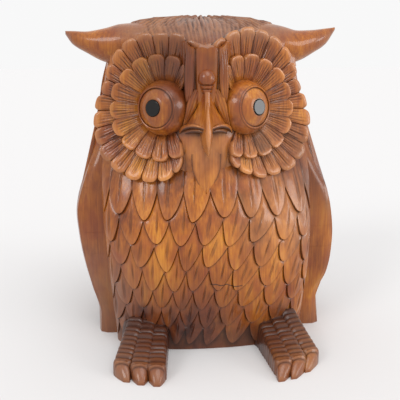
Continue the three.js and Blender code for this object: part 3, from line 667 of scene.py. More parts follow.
# Cheek leaves: two slim petals on each side between the beak and the eye. They are left standing from the
# block when the discs are dished, and veined with the V tool like the brow's petals.
# Height, near and far x, and y of the front at both
CHEEK_LEAVES = [
    [(272.6, 10.8, 17, -51, -49.5), (260, 10.4, 18, -52.5, -51.5), (247, 10.4, 18.5, -53, -52.5),
     (236, 12, 18.2, -52.5, -52.5), (229.5, 16, 17.4, -50, -51)],
    [(240, 4.4, 10.4, -50, -51), (233, 5.4, 15.2, -50, -52), (226, 7.6, 17.4, -50, -53),
     (219, 11.4, 18.4, -49.5, -53), (212, 15.4, 19.8, -48.5, -51.5), (207.5, 18, 20.5, -47, -48.5)],
]
LEAF_LINES = 15
for side, word in SIDES:
    for n, leaf in enumerate(CHEEK_LEAVES):
        share = np.linspace(0, 1, LEAF_LINES)
        swell = bow(2 * share - 1, 4)
        vein = (0.5 - 0.5 * np.cos(2 * math.pi * share * 3.5)) ** 2 * (swell > 0.5)
        rings, cut_stain_and_shade = [], []
        for z, near, far, near_front, far_front in finer(leaf, 8):
            front = near_front + (far_front - near_front) * share + 1.0 - 1.8 * swell + 0.3 * vein
            across = near + (far - near) * share
            across = side * np.append(across, [far, near]) + FACE_X
            rings.append(ring(across, np.append(front, [-35, -35]), z))
            cut_stain_and_shade.append(np.append(np.maximum(0.8 * (1 - swell), 0.4 * vein), [1, 1]))
        carve(f"{word}_cheek_leaf_{n}", rings, cut_stain_and_shade, 0.4 + 0.2 * n)

# Bib: the one broad, pointed feather that hangs below the beak, on a smooth throat. Both belong to the
# block. The shaft of the bib is split by two cuts of the V tool.
# Height and half width down the bib, and with y of the front down the throat
BIB = [(205, 9), (196, 12), (184, 12.8), (170, 11.6), (159, 6.6), (151, 0.6)]
THROAT = [(208, 26, -50), (198, 27, -52), (186, 27, -51.5), (177, 26, -49.5), (168, 25, -46), (160, 24, -42)]
THROAT_LINES = 45
rings, cut_stain_and_shade = [], []
share = np.linspace(-1, 1, THROAT_LINES)
for z, half, front in finer(THROAT, 6):
    stroke = ridge(np.abs(share) - 0.68, 0.03) * smooth(200 - z, 0, 12)
    face = front + 7 * np.abs(share) ** 3 + 0.5 * stroke
    rings.append(ring(np.append(share * half, [half, -half]), np.append(face, [front + 14, front + 14]), z))
    shade = 0.75 * smooth(z, 198, 204) + 0.5 * smooth(np.abs(share), 0.75, 1)
    cut_stain_and_shade.append(np.append(np.clip(0.5 * stroke + shade, 0, 1), [0.5, 0.5]))
carve("throat", np.array(rings) + [FACE_X, 0, 0], cut_stain_and_shade, 0.7, 0, 0.2)
rings = []
for z, half in finer(BIB, 8):
    front = belly_front(z) - 2 - 6.5 * smooth(z, 150, 190)
    rings.append([(-half, front + 2.2, z), (0, front, z), (half, front + 2.2, z), (half, front + 16, z),
                  (-half, front + 16, z)])
rings = around(rings, 12, sharp=(0, 2, 3, 4)) + [FACE_X, 0, 0]
share = np.arange(rings.shape[1]) / 12
rim = ridge(np.minimum(share, np.abs(2 - share)), 0.1)
shaft = ridge(np.abs(share - 1) - 0.12, 0.05)
rings[:, :, 1] += 0.6 * shaft
carve("bib_feather", rings, np.maximum(0.9 * rim, 0.45 * shaft), 0.7, 0, 0.2 * (1 - rim))

# Eyes: domes turned forward and out, with a raised lip round the iris and a socket bored for the pupil.
# Each is turned as a profile about its own axis and cut in the same block.
EYE_TURN = 35
EYE_TILT = 5
EYE_R = 24
LIP_R = 17.6
LIP_H = 15.9
PUPIL_R = 6.7
SEAT_H = 20.4
SOCKET_R = 7.0
SOCKET_FLOOR = 18.3
EYE_SEGMENTS = 64


def eye_frame(side):
    """The middle of an eye's base and three axes: across, up, and out along the look."""
    turn, tilt = math.radians(EYE_TURN), math.radians(EYE_TILT)
    look = Vector((side * math.sin(turn) * math.cos(tilt), -math.cos(turn) * math.cos(tilt), math.sin(tilt)))
    across = Vector((0, 0, 1)).cross(look).normalized()
    return Vector((side * EYE_OUT + FACE_X, EYE_BACK, EYE_Z)), across, look.cross(across), look


def circle(count):
    """Angles all the way round, in even steps."""
    return np.arange(count) * math.pi / (count // 2)


# Radius, height, and stain with painted shade down the profile: darkest at the dome's foot, in the groove
# inside the lip and in the socket
eye_line = [(EYE_R - 2, -12, 1), (EYE_R, -6, 1)]
for a in np.linspace(0, math.asin(LIP_H / EYE_R) - 0.06, 10):
    eye_line.append((EYE_R * math.cos(a), EYE_R * math.sin(a), 0.5 * float(smooth(-a, -0.35, 0))))
eye_line += [(LIP_R + 0.9, LIP_H - 0.6, 0.6), (LIP_R + 0.5, LIP_H + 0.2, 0), (LIP_R, LIP_H + 0.5, 0),
             (LIP_R - 0.6, LIP_H + 0.3, 0.1), (LIP_R - 1.0, LIP_H - 0.6, 0.9),
             (LIP_R - 1.5, LIP_H - 0.4, 0.6), (LIP_R - 2.2, LIP_H + 0.3, 0.1),
             (14, 17.1, 0.05), (12, 18.5, 0.05), (10, 19.7, 0.1), (PUPIL_R + 1.2, SEAT_H, 0.2),
             (SOCKET_R + 0.2, SEAT_H, 0.6), (SOCKET_R, SEAT_H - 0.2, 1), (SOCKET_R, SOCKET_FLOOR, 1),
             (2, SOCKET_FLOOR, 1)]
for side, word in SIDES:
    base, sideways, upwards, look = eye_frame(side)
    turns = circle(EYE_SEGMENTS)
    outline = np.multiply.outer(np.cos(turns), sideways) + np.multiply.outer(np.sin(turns), upwards)
    rings = [np.array(base) + r * outline + h * np.array(look) for r, h, _ in eye_line]
    cut_stain_and_shade = np.array([[paint] for _, _, paint in eye_line])
    golden = np.array([[0.65 if r < LIP_R - 1.8 else 0.35] for r, _, _ in eye_line])
    carve(f"{word}_eye", rings, cut_stain_and_shade, golden)

# Beak: a keeled ridge from a small ringed knob between the eyes, over two flared nostril lips, to a hooked
# point. It is left smooth from the knife.
KNOB = [(256.5, 3, -53, -55.0), (255, 5.5, -52.5, -57), (252, 7.4, -52, -59.2), (248, 7.9, -52, -60),
        (245, 7, -51.5, -59.2), (244, 5.8, -51, -57.6), (243, 6.2, -51, -58.6), (241.5, 5.8, -51, -58.4),
        (240.6, 4.9, -51, -57.2), (239.6, 5.2, -51, -58), (238.3, 4.6, -51, -57.8), (237, 3.8, -51, -56.8)]
KNOB_RINGS = (244, 240.6, 237)
RIDGE = [(240, 4, -50, -57.5), (226, 7.6, -50.5, -60.5), (217.5, 12.4, -50, -63), (211, 17.5, -48.5, -65.3),
         (209, 19, -46, -66), (206, 18, -43, -65.5)]
HOOK = [(230, 2.4, -50, -61.5), (212, 5.8, -48, -66.4), (203, 5.8, -50, -68.5), (195, 4.2, -54, -69),
        (185.5, 0.5, -64, -67)]
NOSTRIL = [(3, -62, 208, 1.5), (9, -59.5, 210, 2.1), (15, -55, 210, 2.4), (20.5, -49.5, 207.5, 2.3),
           (23, -46, 203, 1.6)]
NOSTRIL_ROLLS = [(0, 0, 0.75, 0.05), (1.8, -4.4, 0.6, 0.5)]
turns = circle(28)
rings = [ring(half * np.cos(turns) + FACE_X, root + (root - front) * np.sin(turns), z)
         for z, half, root, front in KNOB]
cut_stain_and_shade = np.array([[0.8 if z in KNOB_RINGS else 0.0] for z, *_ in KNOB])
carve("beak_knob", rings, cut_stain_and_shade)
rings = [
    [(-h, r, z), (-h * 0.42, r * 0.45 + k * 0.55, z), (-2.2, k + 1.2, z), (0, k, z), (2.2, k + 1.2, z),
     (h * 0.42, r * 0.45 + k * 0.55, z), (h, r, z), (h * 0.8, -25, z), (-h * 0.8, -25, z)]
    for z, h, r, k in finer(RIDGE, 6)
]
rings = around(rings, 5, sharp=(0, 6, 7, 8)) + [FACE_X, 0, 0]
# Painted shade on the underside of the beak, and a painted highlight along the top of its keel.
under_beak = smooth(-rings[:, :, 2], -208.5, -206)
keel = ridge(rings[:, :, 0] - FACE_X, 1.6) * (rings[:, :, 1] < -55)
carve("beak_ridge", rings, 0.05 + 0.9 * under_beak, 0.6, 0, 0.8 * keel)
rings = [
    [(-h, r, z), (-h * 0.55, k + 4, z), (0, k, z), (h * 0.55, k + 4, z), (h, r, z)]
    for z, h, r, k in finer(HOOK, 6)
]
rings = around(rings, 6, sharp=(0, 4)) + [FACE_X, 0, 0]
# The hook's keel takes the same painted highlight.
keel = ridge(rings[:, :, 0] - FACE_X, 1.4) * (rings[:, :, 1] < -58)
carve("beak_hook", rings, 0.0, 0.6, 0, 0.8 * keel)
for side, word in SIDES:
    for n, (back_by, down_by, thin, paint) in enumerate(NOSTRIL_ROLLS):
        turns = circle(20)
        rings = [
            ring(side * (x * (1 - 0.08 * n) + 0.4 * r * np.cos(turns)) + FACE_X,
                 y + back_by + thin * r * np.cos(turns), z + down_by * r / 2.4 + thin * r * np.sin(turns))
            for x, y, z, r in finer(NOSTRIL, 6)
        ]
        # Each roll is painted dark underneath as shade and lighter on top as a painted highlight, over its
        # own stain.
        low = smooth(-np.sin(turns), -0.3, 0.4)
        cut_stain_and_shade = np.minimum(paint + low, 1)
        carve(f"{word}_nostril_roll_{n}", rings, cut_stain_and_shade, 0.6, 0, 0.2 * (1 - low))

# Ear tufts: horns that sweep out of the crown to a point on each side. They are cut from the top of the
# block, across its grain, and left smooth from the knife, with a painted highlight along their upper edge.
# How far out each point is, and the upper edge's height on the way there
EAR_POINTS = {-1: 124.5, 1: 128}
EAR_TOPS = {
    -1: [(40, 295), (60, 295.5), (75, 294), (84, 291.8), (93, 289.6), (102, 288), (111, 287.8),
         (124.5, 288.4)],
    1: [(40, 295), (60, 295.5), (76, 292), (86, 289.3), (96, 289), (106, 289.6), (116, 290.5), (128, 292.2)],
}
for side, word in SIDES:
    point = EAR_POINTS[side]
    ear_top = profile(EAR_TOPS[side])
    tip_low = EAR_TOPS[side][-1][1] - 4
    ear_low = profile([(40, 262), (60, 258), (85, 259), (105, 268), (118, 276), (point, tip_low)])
    ear_mid = profile([(40, 18), (60, 16), (85, 14), (105, 17), (118, 22), (point, 28)])
    ear_thick = profile([(40, 26), (60, 23), (85, 15), (105, 9.5), (118, 5.5), (point, 2)])
    turns = circle(40)
    rings = []
    for x in np.append(np.linspace(40, 116, 24), np.linspace(118, point, 6)):
        high, middle = (ear_top(x) - ear_low(x)) / 2, (ear_top(x) + ear_low(x)) / 2
        dent = 0.35 * np.sin(0.31 * x + 2 * turns) + 0.25 * np.sin(0.17 * x - 3 * turns)
        rings.append(ring(side * x, ear_mid(x) + ear_thick(x) * np.cos(turns),
                          middle + (high - 0.3 + 0.3 * dent) * np.sin(turns)))
    top_edge_highlight = np.broadcast_to(0.7 * ridge(turns - math.pi / 2, 0.35), (len(rings), 40))
    carve(f"{word}_ear_tuft", rings, 0.03, 0.55, 0, top_edge_highlight)

# Feet: three toes each, cut with close cross scutes from the root to the knuckle, with smooth blunt claws.
# They took a darker wash of the stain than the body.
SCUTES = 10
SCUTE_STEPS = 4
SCUTE_HIGH = 0.7
TOE_HALF = 7.7
KNUCKLE_HIGH = 13.5
# Each toe's root by x, y and height, then its knuckle and the point of its claw by x and y
TOES = [
    (-67, -42, 36, -79.8, -86, -76.2, -97.5),
    (-56.5, -43, 33.5, -64.9, -93, -64.1, -103.5),
    (-46, -44, 30, -50.7, -96, -51, -107),
    (53.5, -42, 28, 59, -98, 54, -110),
    (64.5, -41, 32, 72.5, -93, 65.5, -107),
    (75.5, -40, 35.5, 87, -82.3, 80, -97),
]
LEGS = [(-59, -40), (64, -38)]
LEG_WIDE = 21
LEG_DEEP = 15
# Height, share of the full width, and how far back
LEG_UP = [(0, 1, 0), (16, 1, 1), (24, 0.95, 4), (30, 0.8, 8)]
SOLE_TO_TOP = [(-1, 0), (-1, 0.35), (-0.98, 0.72), (-0.9, 0.9), (-0.7, 0.975), (-0.35, 1), (0, 1), (0.35, 1),
               (0.7, 0.975), (0.9, 0.9), (0.98, 0.72), (1, 0.35), (1, 0)]
KNUCKLE = [(0.0, 1.06, 1.0), (0.05, 1.08, 1.0), (0.1, 1.0, 0.97), (0.14, 0.86, 0.9)]
CLAW_STEPS = 8


def toe_section(x, y, top, wide, way, rounded=0.0):
    """One cut across a toe, flat on the ground, with squared sides or rounded over as the claws are."""
    made = []
    for i, (a, up) in enumerate(SOLE_TO_TOP):
        turn = math.pi * (1 - i / (len(SOLE_TO_TOP) - 1))
        a += (math.cos(turn) - a) * rounded
        up += (math.sin(turn) - up) * rounded
        made.append((x + way[1] * a * wide, y - way[0] * a * wide, top * up))
    return made


for n, (root_x, root_y, root_z, knee_x, knee_y, claw_x, claw_y) in enumerate(TOES):
    run = math.hypot(knee_x - root_x, knee_y - root_y)
    way = ((knee_x - root_x) / run, (knee_y - root_y) / run)
    rings, cut_stain_and_shade, washes, rubs_and_highlights = [], [], [], []
    for step in range(SCUTES * SCUTE_STEPS):
        t = step / (SCUTES * SCUTE_STEPS)
        scute = step // SCUTE_STEPS
        swell = (0.0, 0.8, 1.0, 0.75)[step % SCUTE_STEPS]
        t = max(0, t + 0.014 * uneven(n, scute, 3))
        scute_high = SCUTE_HIGH * (1 + 0.4 * uneven(n, scute, 4))
        high = root_z + (KNUCKLE_HIGH - root_z) * t**0.85 + scute_high * (swell - 0.9)
        wide = TOE_HALF * 1.08 + 0.4 * (swell - 0.8)
        x, y = root_x + (knee_x - root_x) * t, root_y + (knee_y - root_y) * t
        rings.append(toe_section(x, y, high, wide, way))
        # Stain between the scutes, and painted shade towards the root, where the toe goes in under the belly.
        cut_stain_and_shade.append(0.8 * (1 - swell) + 0.4 * (1 - t) ** 3)
        washes.append(0.97 - 0.5 * t)
        # The scutes' tops, the knuckle and the claw are painted lighter on the toe's upper side, part rubbed
        # wear and part painted highlight.
        rubs_and_highlights.append((0.3 + 0.5 * t) * swell**2 * (0.6 + 0.4 * uneven(n, scute, 5)))
    claw_way = (claw_x - knee_x, claw_y - knee_y)
    for t, high, wide in KNUCKLE:
        x, y = knee_x + claw_way[0] * t * 0.4, knee_y + claw_way[1] * t
        rings.append(toe_section(x, y, KNUCKLE_HIGH * high, TOE_HALF * wide, way, 0.5))
        cut_stain_and_shade.append(0.9 if t > 0.12 else 0.0)
        washes.append(0.3)
        # The knuckle's front takes the strongest painted highlight.
        rubs_and_highlights.append(0.9 if t < 0.08 else 0.3)
    for t in np.linspace(0, 1, CLAW_STEPS):
        high = 0.92 - 0.4 * t - 0.34 * t**2
        wide = 0.92 - 0.58 * t**1.3
        x, y = knee_x + claw_way[0] * (0.08 + 0.92 * t), knee_y + claw_way[1] * (0.18 + 0.82 * t)
        rings.append(toe_section(x, y, KNUCKLE_HIGH * high, TOE_HALF * wide, way, 0.5))
        cut_stain_and_shade.append(0.7 if t == 0 else 0.06)
        washes.append(0.06)
        rubs_and_highlights.append(0.3 * t)
    rings = around(rings, 2, sharp=(0, 12))
    top_only = smooth(rings[:, :, 2] / rings[:, :, 2].max(1)[:, None], 0.6, 0.95)
    rub_and_highlight = np.array(rubs_and_highlights)[:, None] * top_only
    carve(f"toe_{n}", rings, np.array(cut_stain_and_shade)[:, None] * (0.4 + 0.6 * top_only), 0.45,
          np.array(washes)[:, None], rub_and_highlight)
turns = circle(40)
for n, (leg_x, leg_y) in enumerate(LEGS):
    rings = [
        ring(leg_x + LEG_WIDE * share * np.cos(turns), leg_y + back + LEG_DEEP * share * np.sin(turns), z)
        for z, share, back in finer(LEG_UP, 4)
    ]
    carve(f"leg_root_{n}", rings, 0.5, 0.2, 1.0)

# All of it is one block, so the parts are united with the coat into one closed mesh. The underside is sawn
# flat where the owl stands on the ground.
chips = bpy.data.collections.new("carving")
bpy.context.scene.collection.children.link(chips)
for part in carved:
    bpy.context.scene.collection.objects.unlink(part)
    chips.objects.link(part)


def boolean(operation, **other):
    """Unites the block with other parts, or cuts one away from it."""
    change = owl.modifiers.new(operation.lower(), "BOOLEAN")
    change.operation = operation
    change.solver = "MANIFOLD"
    for key, value in other.items():
        setattr(change, key, value)
    bpy.context.view_layer.objects.active = owl
    bpy.ops.object.modifier_apply(modifier=change.name)


owl.select_set(True)
boolean("UNION", operand_type="COLLECTION", collection=chips)
for part in carved:
    bpy.data.objects.remove(part)
bpy.data.collections.remove(chips)

UNDER = 0.4
CRISP_OVER = 42
bpy.ops.object.select_all(action="DESELECT")
bpy.ops.mesh.primitive_cube_add(size=UNDER, location=(0, 0, -UNDER / 2))
ground = bpy.context.active_object
boolean("DIFFERENCE", object=ground)
bpy.data.objects.remove(ground)
bpy.ops.object.select_all(action="DESELECT")
owl.select_set(True)
bpy.ops.object.shade_smooth_by_angle(angle=math.radians(CRISP_OVER))

# The finish: stained and lacquered hardwood. Darker patches lie round the feet, over the brow and the owl's
# right disc, down the wings and low on the belly: partly stain that went on darker, partly painted shade. A
# grey-brown painted reflection lies on the owl's lower right, by the ground and on the crown, and painted
# light brightens patches of the breast. Each patch has its place, its size and its strength.
STAIN_AND_SHADE_PATCHES = [(-58, -46, 38, 21, 1.0), (-75, -40, 30, 14, 0.9), (66, -44, 33, 17, 0.9), (-20, -58, 22, 66, 1.0),
           (35, -58, 5, 60, 0.8), (-36, -50, 262, 46, 0.85), (0, -50, 262, 24, 0.65),
           (-75, -30, 225, 40, 0.4), (-118, 20, 150, 60, 0.6), (122, 10, 150, 60, 0.75),
           (122, 10, 60, 40, 0.45), (-95, -20, 20, 50, 0.5), (-110, 20, 280, 40, 0.3),
           (110, 20, 285, 30, 0.25)]
# Patches of painted light on the breast, strongest on the owl's left and the upper breast: place, size and
# strength.
PAINTED_LIGHT_PATCHES = [(70, -45, 125, 52, 0.8), (-30, -50, 165, 50, 0.1), (0, -55, 190, 26, 0.6), (60, -45, 190, 45, 0.5)]
PATCH_FLATNESS = 0.8
# A grey-brown painted reflection on the lacquer, over the owl's lower right, near the ground and on the
# crown.
REFLECTION_FROM = (-40, 130)
REFLECTION_OVER = (45, 80)
REFLECTION_SIDE, REFLECTION_FOOT, REFLECTION_CROWN = 0.85, 0.55, 0.8
FOOT_REFLECTION_Z = (6, 32)
CROWN_REFLECTION_Z = (274, 288)
CROWN_REFLECTION_X = 92
NO_REFLECTION_BEHIND = 100
place = np.zeros(len(owl.data.vertices) * 3)
owl.data.vertices.foreach_get("co", place)
place = place.reshape(-1, 3) / MM - [OFF_MIDDLE, 0, 0]


def patches(spots):
    """How strongly each vertex lies in soft round patches, given by place, size and strength."""
    total = np.zeros(len(place))
    for x, y, z, wide, amount in spots:
        away = np.linalg.norm((place - [x, y, z]) / [wide, wide, PATCH_FLATNESS * wide], axis=1)
        total = np.maximum(total, amount * np.exp(-(away**2)))
    return total


stain_and_shade = patches(STAIN_AND_SHADE_PATCHES)
painted_light = patches(PAINTED_LIGHT_PATCHES)
x, y, z = place.T
at_side = smooth(REFLECTION_FROM[0] - x, 0, REFLECTION_OVER[0]) * smooth(REFLECTION_FROM[1] - z, 0, REFLECTION_OVER[1])
at_foot = smooth(-z, -FOOT_REFLECTION_Z[1], -FOOT_REFLECTION_Z[0])
at_crown = smooth(z, *CROWN_REFLECTION_Z) * smooth(CROWN_REFLECTION_X - np.abs(x), 0, 25)
grey_reflection = np.maximum.reduce([REFLECTION_SIDE * at_side, REFLECTION_FOOT * at_foot, REFLECTION_CROWN * at_crown])
grey_reflection = grey_reflection * smooth(NO_REFLECTION_BEHIND - y, 0, 60)
# The patches go to the mesh: stain with painted shade, the grey painted reflection, and painted light.
layer = owl.data.attributes.new("stain_and_light_patches", "FLOAT_COLOR", "POINT")
layer.data.foreach_set("color", np.column_stack([stain_and_shade, grey_reflection, painted_light, 0 * grey_reflection]).astype(np.float32).ravel())


def linear(hex_colour):
    """An sRGB hex colour as linear red, green, blue and 1."""
    parts = [int(hex_colour[i : i + 2], 16) / 255 for i in (1, 3, 5)]
    return tuple(c / 12.92 if c <= 0.04045 else ((c + 0.055) / 1.055) ** 2.4 for c in parts) + (1.0,)


def connect(node, links):
    """Sets a node's inputs, each to a value or to another node's output."""
    for key, value in links.items():
        if isinstance(value, bpy.types.NodeSocket):
            node.id_data.links.new(value, node.inputs[key])
        else:
            node.inputs[key].default_value = value


def add_node(tree, kind, links, output=0, **settings):
    """Adds a node with its settings and links, and gives back one of its outputs."""
    made = tree.nodes.new("ShaderNode" + kind)
    for key, value in settings.items():
        setattr(made, key, value)
    connect(made, links)
    return made.outputs[output]


# Suar wood, stained orange brown and lacquered: streaks of grain 1.6 mm wide and 45 mm long run up the
# block, and the stain took unevenly, in patches of 35 mm, red flushes of 20 mm and dapples of 7 mm. It is
# dark in the cuts, part stain and part painted shade, and lighter on edges, part rubbed-through wear and part
# painted highlight. A hairline crack and a small knot show low on the belly.
GRAIN_WIDE = 1.6
GRAIN_LONG = 45
PATCH = 35
FLUSH = 20
DAPPLE = 7
DARKER = -0.09
TONES = [(0.5, "#4E2206"), (0.68, "#7E3E0C"), (0.84, "#A45C15"), (1.0, "#C47E24")]
CRACK_X = 12
CRACK_Y = -80
CRACK_Z = 71.5
CRACK_SLOPE = 0.11
CRACK_WIDE = 0.7
CRACK_HALF = 13
CRACK_DEEP = 40
CRACK_WANDERS = 5
KNOT_AT = (38.5, -57, 52)
KNOT_WIDE = 3.6
wood = bpy.data.materials.new("stained_hardwood_hand_carved")
wood.use_nodes = True
tree = wood.node_tree
at = add_node(tree, "TexCoord", {}, "Object")
carving = add_node(tree, "Attribute", {}, attribute_name="carving")
mark = add_node(tree, "SeparateColor", {"Color": carving}).node.outputs
stain_and_light_attribute = add_node(tree, "Attribute", {}, attribute_name="stain_and_light_patches")
stain_and_light_patches = add_node(tree, "SeparateColor", {"Color": stain_and_light_attribute}).node.outputs
streaks = (1 / (GRAIN_WIDE * MM), 1 / (GRAIN_WIDE * MM), 1 / (GRAIN_LONG * MM))
along_grain = add_node(tree, "Mapping", {"Vector": at, "Scale": streaks})
tall = add_node(tree, "Mapping", {"Vector": at, "Scale": (1, 1, 0.5)})
shifted = add_node(tree, "Mapping", {"Vector": at, "Location": (0.3, 0.1, 0.2)})
grain, patch, dapple, flush = (
    add_node(tree, "TexNoise", {"Vector": on, "Scale": scale, "Detail": detail})
    for on, scale, detail in (
        (along_grain, 1.0, 4.0), (tall, 1 / (PATCH * MM), 3.0),
        (tall, 1 / (DAPPLE * MM), 2.0), (shifted, 1 / (FLUSH * MM), 2.0),
    )
)

# The stain's tone comes from the grain, the patches, the dapples and each feather's own tint
tone = DARKER
for pattern, share in ((grain, 0.42), (patch, 0.75), (dapple, 0.3), (mark["Green"], 0.26)):
    tone = add_node(tree, "Math", {0: pattern, 1: share, 2: tone}, operation="MULTIPLY_ADD")
colour = add_node(tree, "ValToRGB", {"Fac": tone})
stops = colour.node.color_ramp.elements
while len(stops) < len(TONES):
    stops.new(0.5)
for stop, (position, paint) in zip(stops, TONES):
    stop.position = position
    stop.color = linear(paint)

# Over it lie the red flushes, then the painted light on the breast, the grey painted reflection, the rubbed
# edges with their painted highlights and the darker patches of stain and painted shade, broken up by the
# dapples: where each lies, how far it follows them, its least share and its colour
links = {"Value": flush, "From Min": 0.48, "From Max": 0.68, "To Max": 0.4}
layers = [(add_node(tree, "MapRange", links, interpolation_type="SMOOTHSTEP"), "#84381A")]
for lies, follows, least, paint in (
    (stain_and_light_patches["Blue"], 0.8, 0.1, "#C48A58"),
    (stain_and_light_patches["Green"], 0.7, 0.35, "#7C5C4C"),
    (carving.node.outputs["Alpha"], 0.9, 0.05, "#CA8C5A"),
    (stain_and_light_patches["Red"], 1.0, 0.4, "#5C2C18"),
):
    share = add_node(tree, "Math", {0: dapple, 1: follows, 2: least}, operation="MULTIPLY_ADD")
    laid_share = add_node(tree, "Math", {0: share, 1: lies}, operation="MULTIPLY")
    layers.append((laid_share, paint))

# The crack wanders across the front: what is measured, its middle, and how far off it has gone and is full
where = add_node(tree, "SeparateXYZ", {"Vector": at}).node.outputs
line = add_node(tree, "Math", {0: dapple, 1: CRACK_WANDERS * MM, 2: where["Z"]}, operation="MULTIPLY_ADD")
line = add_node(tree, "Math", {0: where["X"], 1: CRACK_SLOPE, 2: line}, operation="MULTIPLY_ADD")
crack = 1.0
for measured, middle, gone, full in (
    (line, CRACK_Z, CRACK_WIDE, CRACK_WIDE / 3),
    (where["X"], CRACK_X, CRACK_HALF + 3, CRACK_HALF),
    (where["Y"], CRACK_Y, CRACK_DEEP + 20, CRACK_DEEP),
):
    off = add_node(tree, "Math", {0: measured, 1: middle * MM}, operation="SUBTRACT")
    off = add_node(tree, "Math", {0: off}, operation="ABSOLUTE")
    links = {"Value": off, "From Min": gone * MM, "From Max": full * MM}
    near = add_node(tree, "MapRange", links, interpolation_type="SMOOTHSTEP")
    crack = add_node(tree, "Math", {0: crack, 1: near}, operation="MULTIPLY")
links = {0: at, 1: [c * MM for c in KNOT_AT]}
to_knot = add_node(tree, "VectorMath", links, "Value", operation="DISTANCE")
links = {"Value": to_knot, "From Min": KNOT_WIDE * MM, "From Max": KNOT_WIDE * MM / 2}
knot = add_node(tree, "MapRange", links, interpolation_type="SMOOTHSTEP")

# Last come the feet's wash and the darkest of the stain-and-shade patches, the stain and painted shade in
# the cuts, hollows and undersides, the crack and the knot
darkest_patches = add_node(tree, "Math", {0: laid_share, 1: 4.0}, operation="POWER")
for first, second, most, paint in (
    (mark["Blue"], darkest_patches, 0.86, "#351408"),
    (mark["Red"], 0.0, 0.88, "#2E1206"),
    (crack, knot, 0.85, "#28110C"),
):
    share = add_node(tree, "Math", {0: first, 1: second}, operation="MAXIMUM")
    layers.append((add_node(tree, "Math", {0: share, 1: most}, operation="MULTIPLY"), paint))
for share, paint in layers:
    links = {"Factor": share, "A": colour, "B": linear(paint)}
    colour = add_node(tree, "Mix", links, "Result", data_type="RGBA", clamp_factor=True)

# The lacquer is duller in the cuts and in patches, and the grain and the tool's marks show through it
rough = 0.28
for pattern, share in ((mark["Red"], 0.25), (patch, 0.16)):
    rough = add_node(tree, "Math", {0: pattern, 1: share, 2: rough}, operation="MULTIPLY_ADD")
felt = add_node(tree, "Bump", {"Height": grain, "Strength": 0.5, "Distance": 0.35 * MM})
felt = add_node(tree, "Bump", {"Height": dapple, "Strength": 0.5, "Distance": 0.8 * MM, "Normal": felt})
connect(tree.nodes["Principled BSDF"], {
    "Base Color": colour, "Roughness": rough, "Normal": felt, "Specular IOR Level": 0.28, "Coat Weight": 0.42,
    "Coat Roughness": 0.12,
})
owl.data.materials.clear()
owl.data.materials.append(wood)
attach(owl, "root")
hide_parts("carved_owl")

# Pupils: two flat discs of black resin, polished to a mirror that takes the window's light, and let into
# the eyes with a hair of play and an eased edge.
PUPIL_THICK = 2.4
PUPIL_PROUD = 0.6
PUPIL_EASED = 0.35
PUPIL_BORDER = 0.4
PUPIL_SEGMENTS = 64
PUPIL_CRISP_OVER = 35
CLOUDS = 3
pupil_finish = bpy.data.materials.new("polished_black_resin")
pupil_finish.use_nodes = True
tree = pupil_finish.node_tree
at = add_node(tree, "TexCoord", {}, "Object")
clouds = add_node(tree, "TexNoise", {"Vector": at, "Scale": 1 / (CLOUDS * MM), "Detail": 3.0})
links = {"Factor": clouds, "A": linear("#060504"), "B": linear("#120D0A")}
black = add_node(tree, "Mix", links, "Result", data_type="RGBA")
connect(tree.nodes["Principled BSDF"], {"Base Color": black, "Roughness": 0.07, "Specular IOR Level": 0.35})
for side, word in SIDES:
    base, sideways, upwards, look = eye_frame(side)
    centre = (base + Vector((OFF_MIDDLE, 0, 0)) + look * (SEAT_H + PUPIL_PROUD - PUPIL_THICK / 2)) * MM
    bpy.ops.object.select_all(action="DESELECT")
    size = {"radius": PUPIL_R * MM, "depth": PUPIL_THICK * MM}
    bpy.ops.mesh.primitive_cylinder_add(vertices=PUPIL_SEGMENTS, location=(0, 0, 0), **size)
    pupil = bpy.context.active_object
    pupil.name = f"{word}_pupil_inlay"
    soft = pupil.modifiers.new("eased edge", "BEVEL")
    soft.width = PUPIL_EASED * MM
    soft.segments = 3
    bpy.ops.object.modifier_apply(modifier=soft.name)
    for face in pupil.data.polygons:
        face.select = face.area > PUPIL_R * PUPIL_R * MM * MM
    bpy.ops.object.mode_set(mode="EDIT")
    bpy.ops.mesh.select_mode(type="FACE")
    bpy.ops.mesh.inset(thickness=PUPIL_BORDER * MM)
    bpy.ops.object.mode_set(mode="OBJECT")
    way = Matrix((sideways, upwards, look)).transposed().to_4x4()
    pupil.data.transform(Matrix.Translation(centre) @ way)
    pupil.data.materials.append(pupil_finish)
    bpy.ops.object.shade_smooth_by_angle(angle=math.radians(PUPIL_CRISP_OVER))
    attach(pupil, "root")
    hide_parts(f"{word}_pupil")

# The table it was photographed on: plain and pale, in a white tent. The suns are wide, soft patches of the
# tent, and the paper's tone is set so that the floor meets the tent's wall without a line.
TENT_LIGHT = 0.94
PAPER = "#D5D4D4"
FLOOR_WIDE = 12
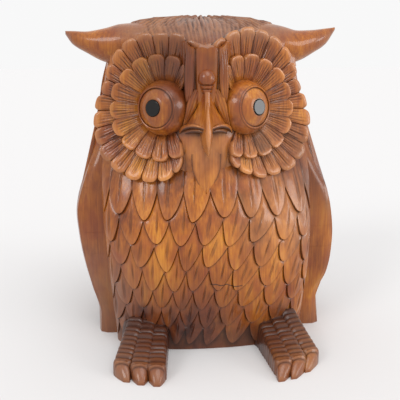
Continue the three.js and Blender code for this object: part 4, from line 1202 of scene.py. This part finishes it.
# Each sun's azimuth, elevation and width in degrees, and its strength
SUNS = [("overhead", 14, 60, 40, 1.1), ("left_box", -46, 32, 20, 0.72), ("right_box", 58, 14, 24, 0.72),
        ("window", 81, 3, 14, 0.3)]
bpy.ops.object.select_all(action="DESELECT")
bpy.ops.mesh.primitive_plane_add(size=FLOOR_WIDE, location=(0, 0, 0))
floor = bpy.context.active_object
floor.name = "floor"
paper = bpy.data.materials.new("white_paper")
paper.use_nodes = True
matt = {"Base Color": linear(PAPER), "Roughness": 1.0, "Specular IOR Level": 0.0}
connect(paper.node_tree.nodes["Principled BSDF"], matt)
floor.data.materials.append(paper)

world = bpy.data.worlds.new("tent")
bpy.context.scene.world = world
world.use_nodes = True
sky = world.node_tree.nodes["Background"]
sky.inputs["Color"].default_value = (1, 1, 1, 1)
sky.inputs["Strength"].default_value = TENT_LIGHT
for name, azimuth, elevation, width, power in SUNS:
    light = bpy.data.lights.new(name, "SUN")
    light.angle = math.radians(width)
    light.energy = power
    a, e = math.radians(azimuth), math.radians(elevation)
    towards = Vector((math.sin(a) * math.cos(e), -math.cos(a) * math.cos(e), math.sin(e)))
    lamp = bpy.data.objects.new(name, light)
    lamp.location = towards
    lamp.rotation_euler = (-towards).to_track_quat("-Z", "Y").to_euler()
    bpy.context.scene.collection.objects.link(lamp)

# The camera stands where the photograph was taken from, a little to the owl's right and looking down on it.
CAMERA_TURN = -6
CAMERA_DIP = 14.17
CAMERA_AT = (-66.8, -581.6, 280)
LENS = 57.06
SENSOR_WIDE = 36
camera_data = bpy.data.cameras.new("camera")
camera_data.lens = LENS
camera_data.sensor_width = SENSOR_WIDE
camera = bpy.data.objects.new("camera", camera_data)
camera.location = Vector(CAMERA_AT) * MM
a, p = math.radians(CAMERA_TURN), math.radians(CAMERA_DIP)
ahead = Vector((-math.sin(a) * math.cos(p), math.cos(a) * math.cos(p), -math.sin(p)))
camera.rotation_euler = ahead.to_track_quat("-Z", "Y").to_euler()
bpy.context.scene.collection.objects.link(camera)
bpy.context.scene.camera = camera
bpy.context.scene.view_settings.view_transform = "Standard"

bpy.context.view_layer.update()
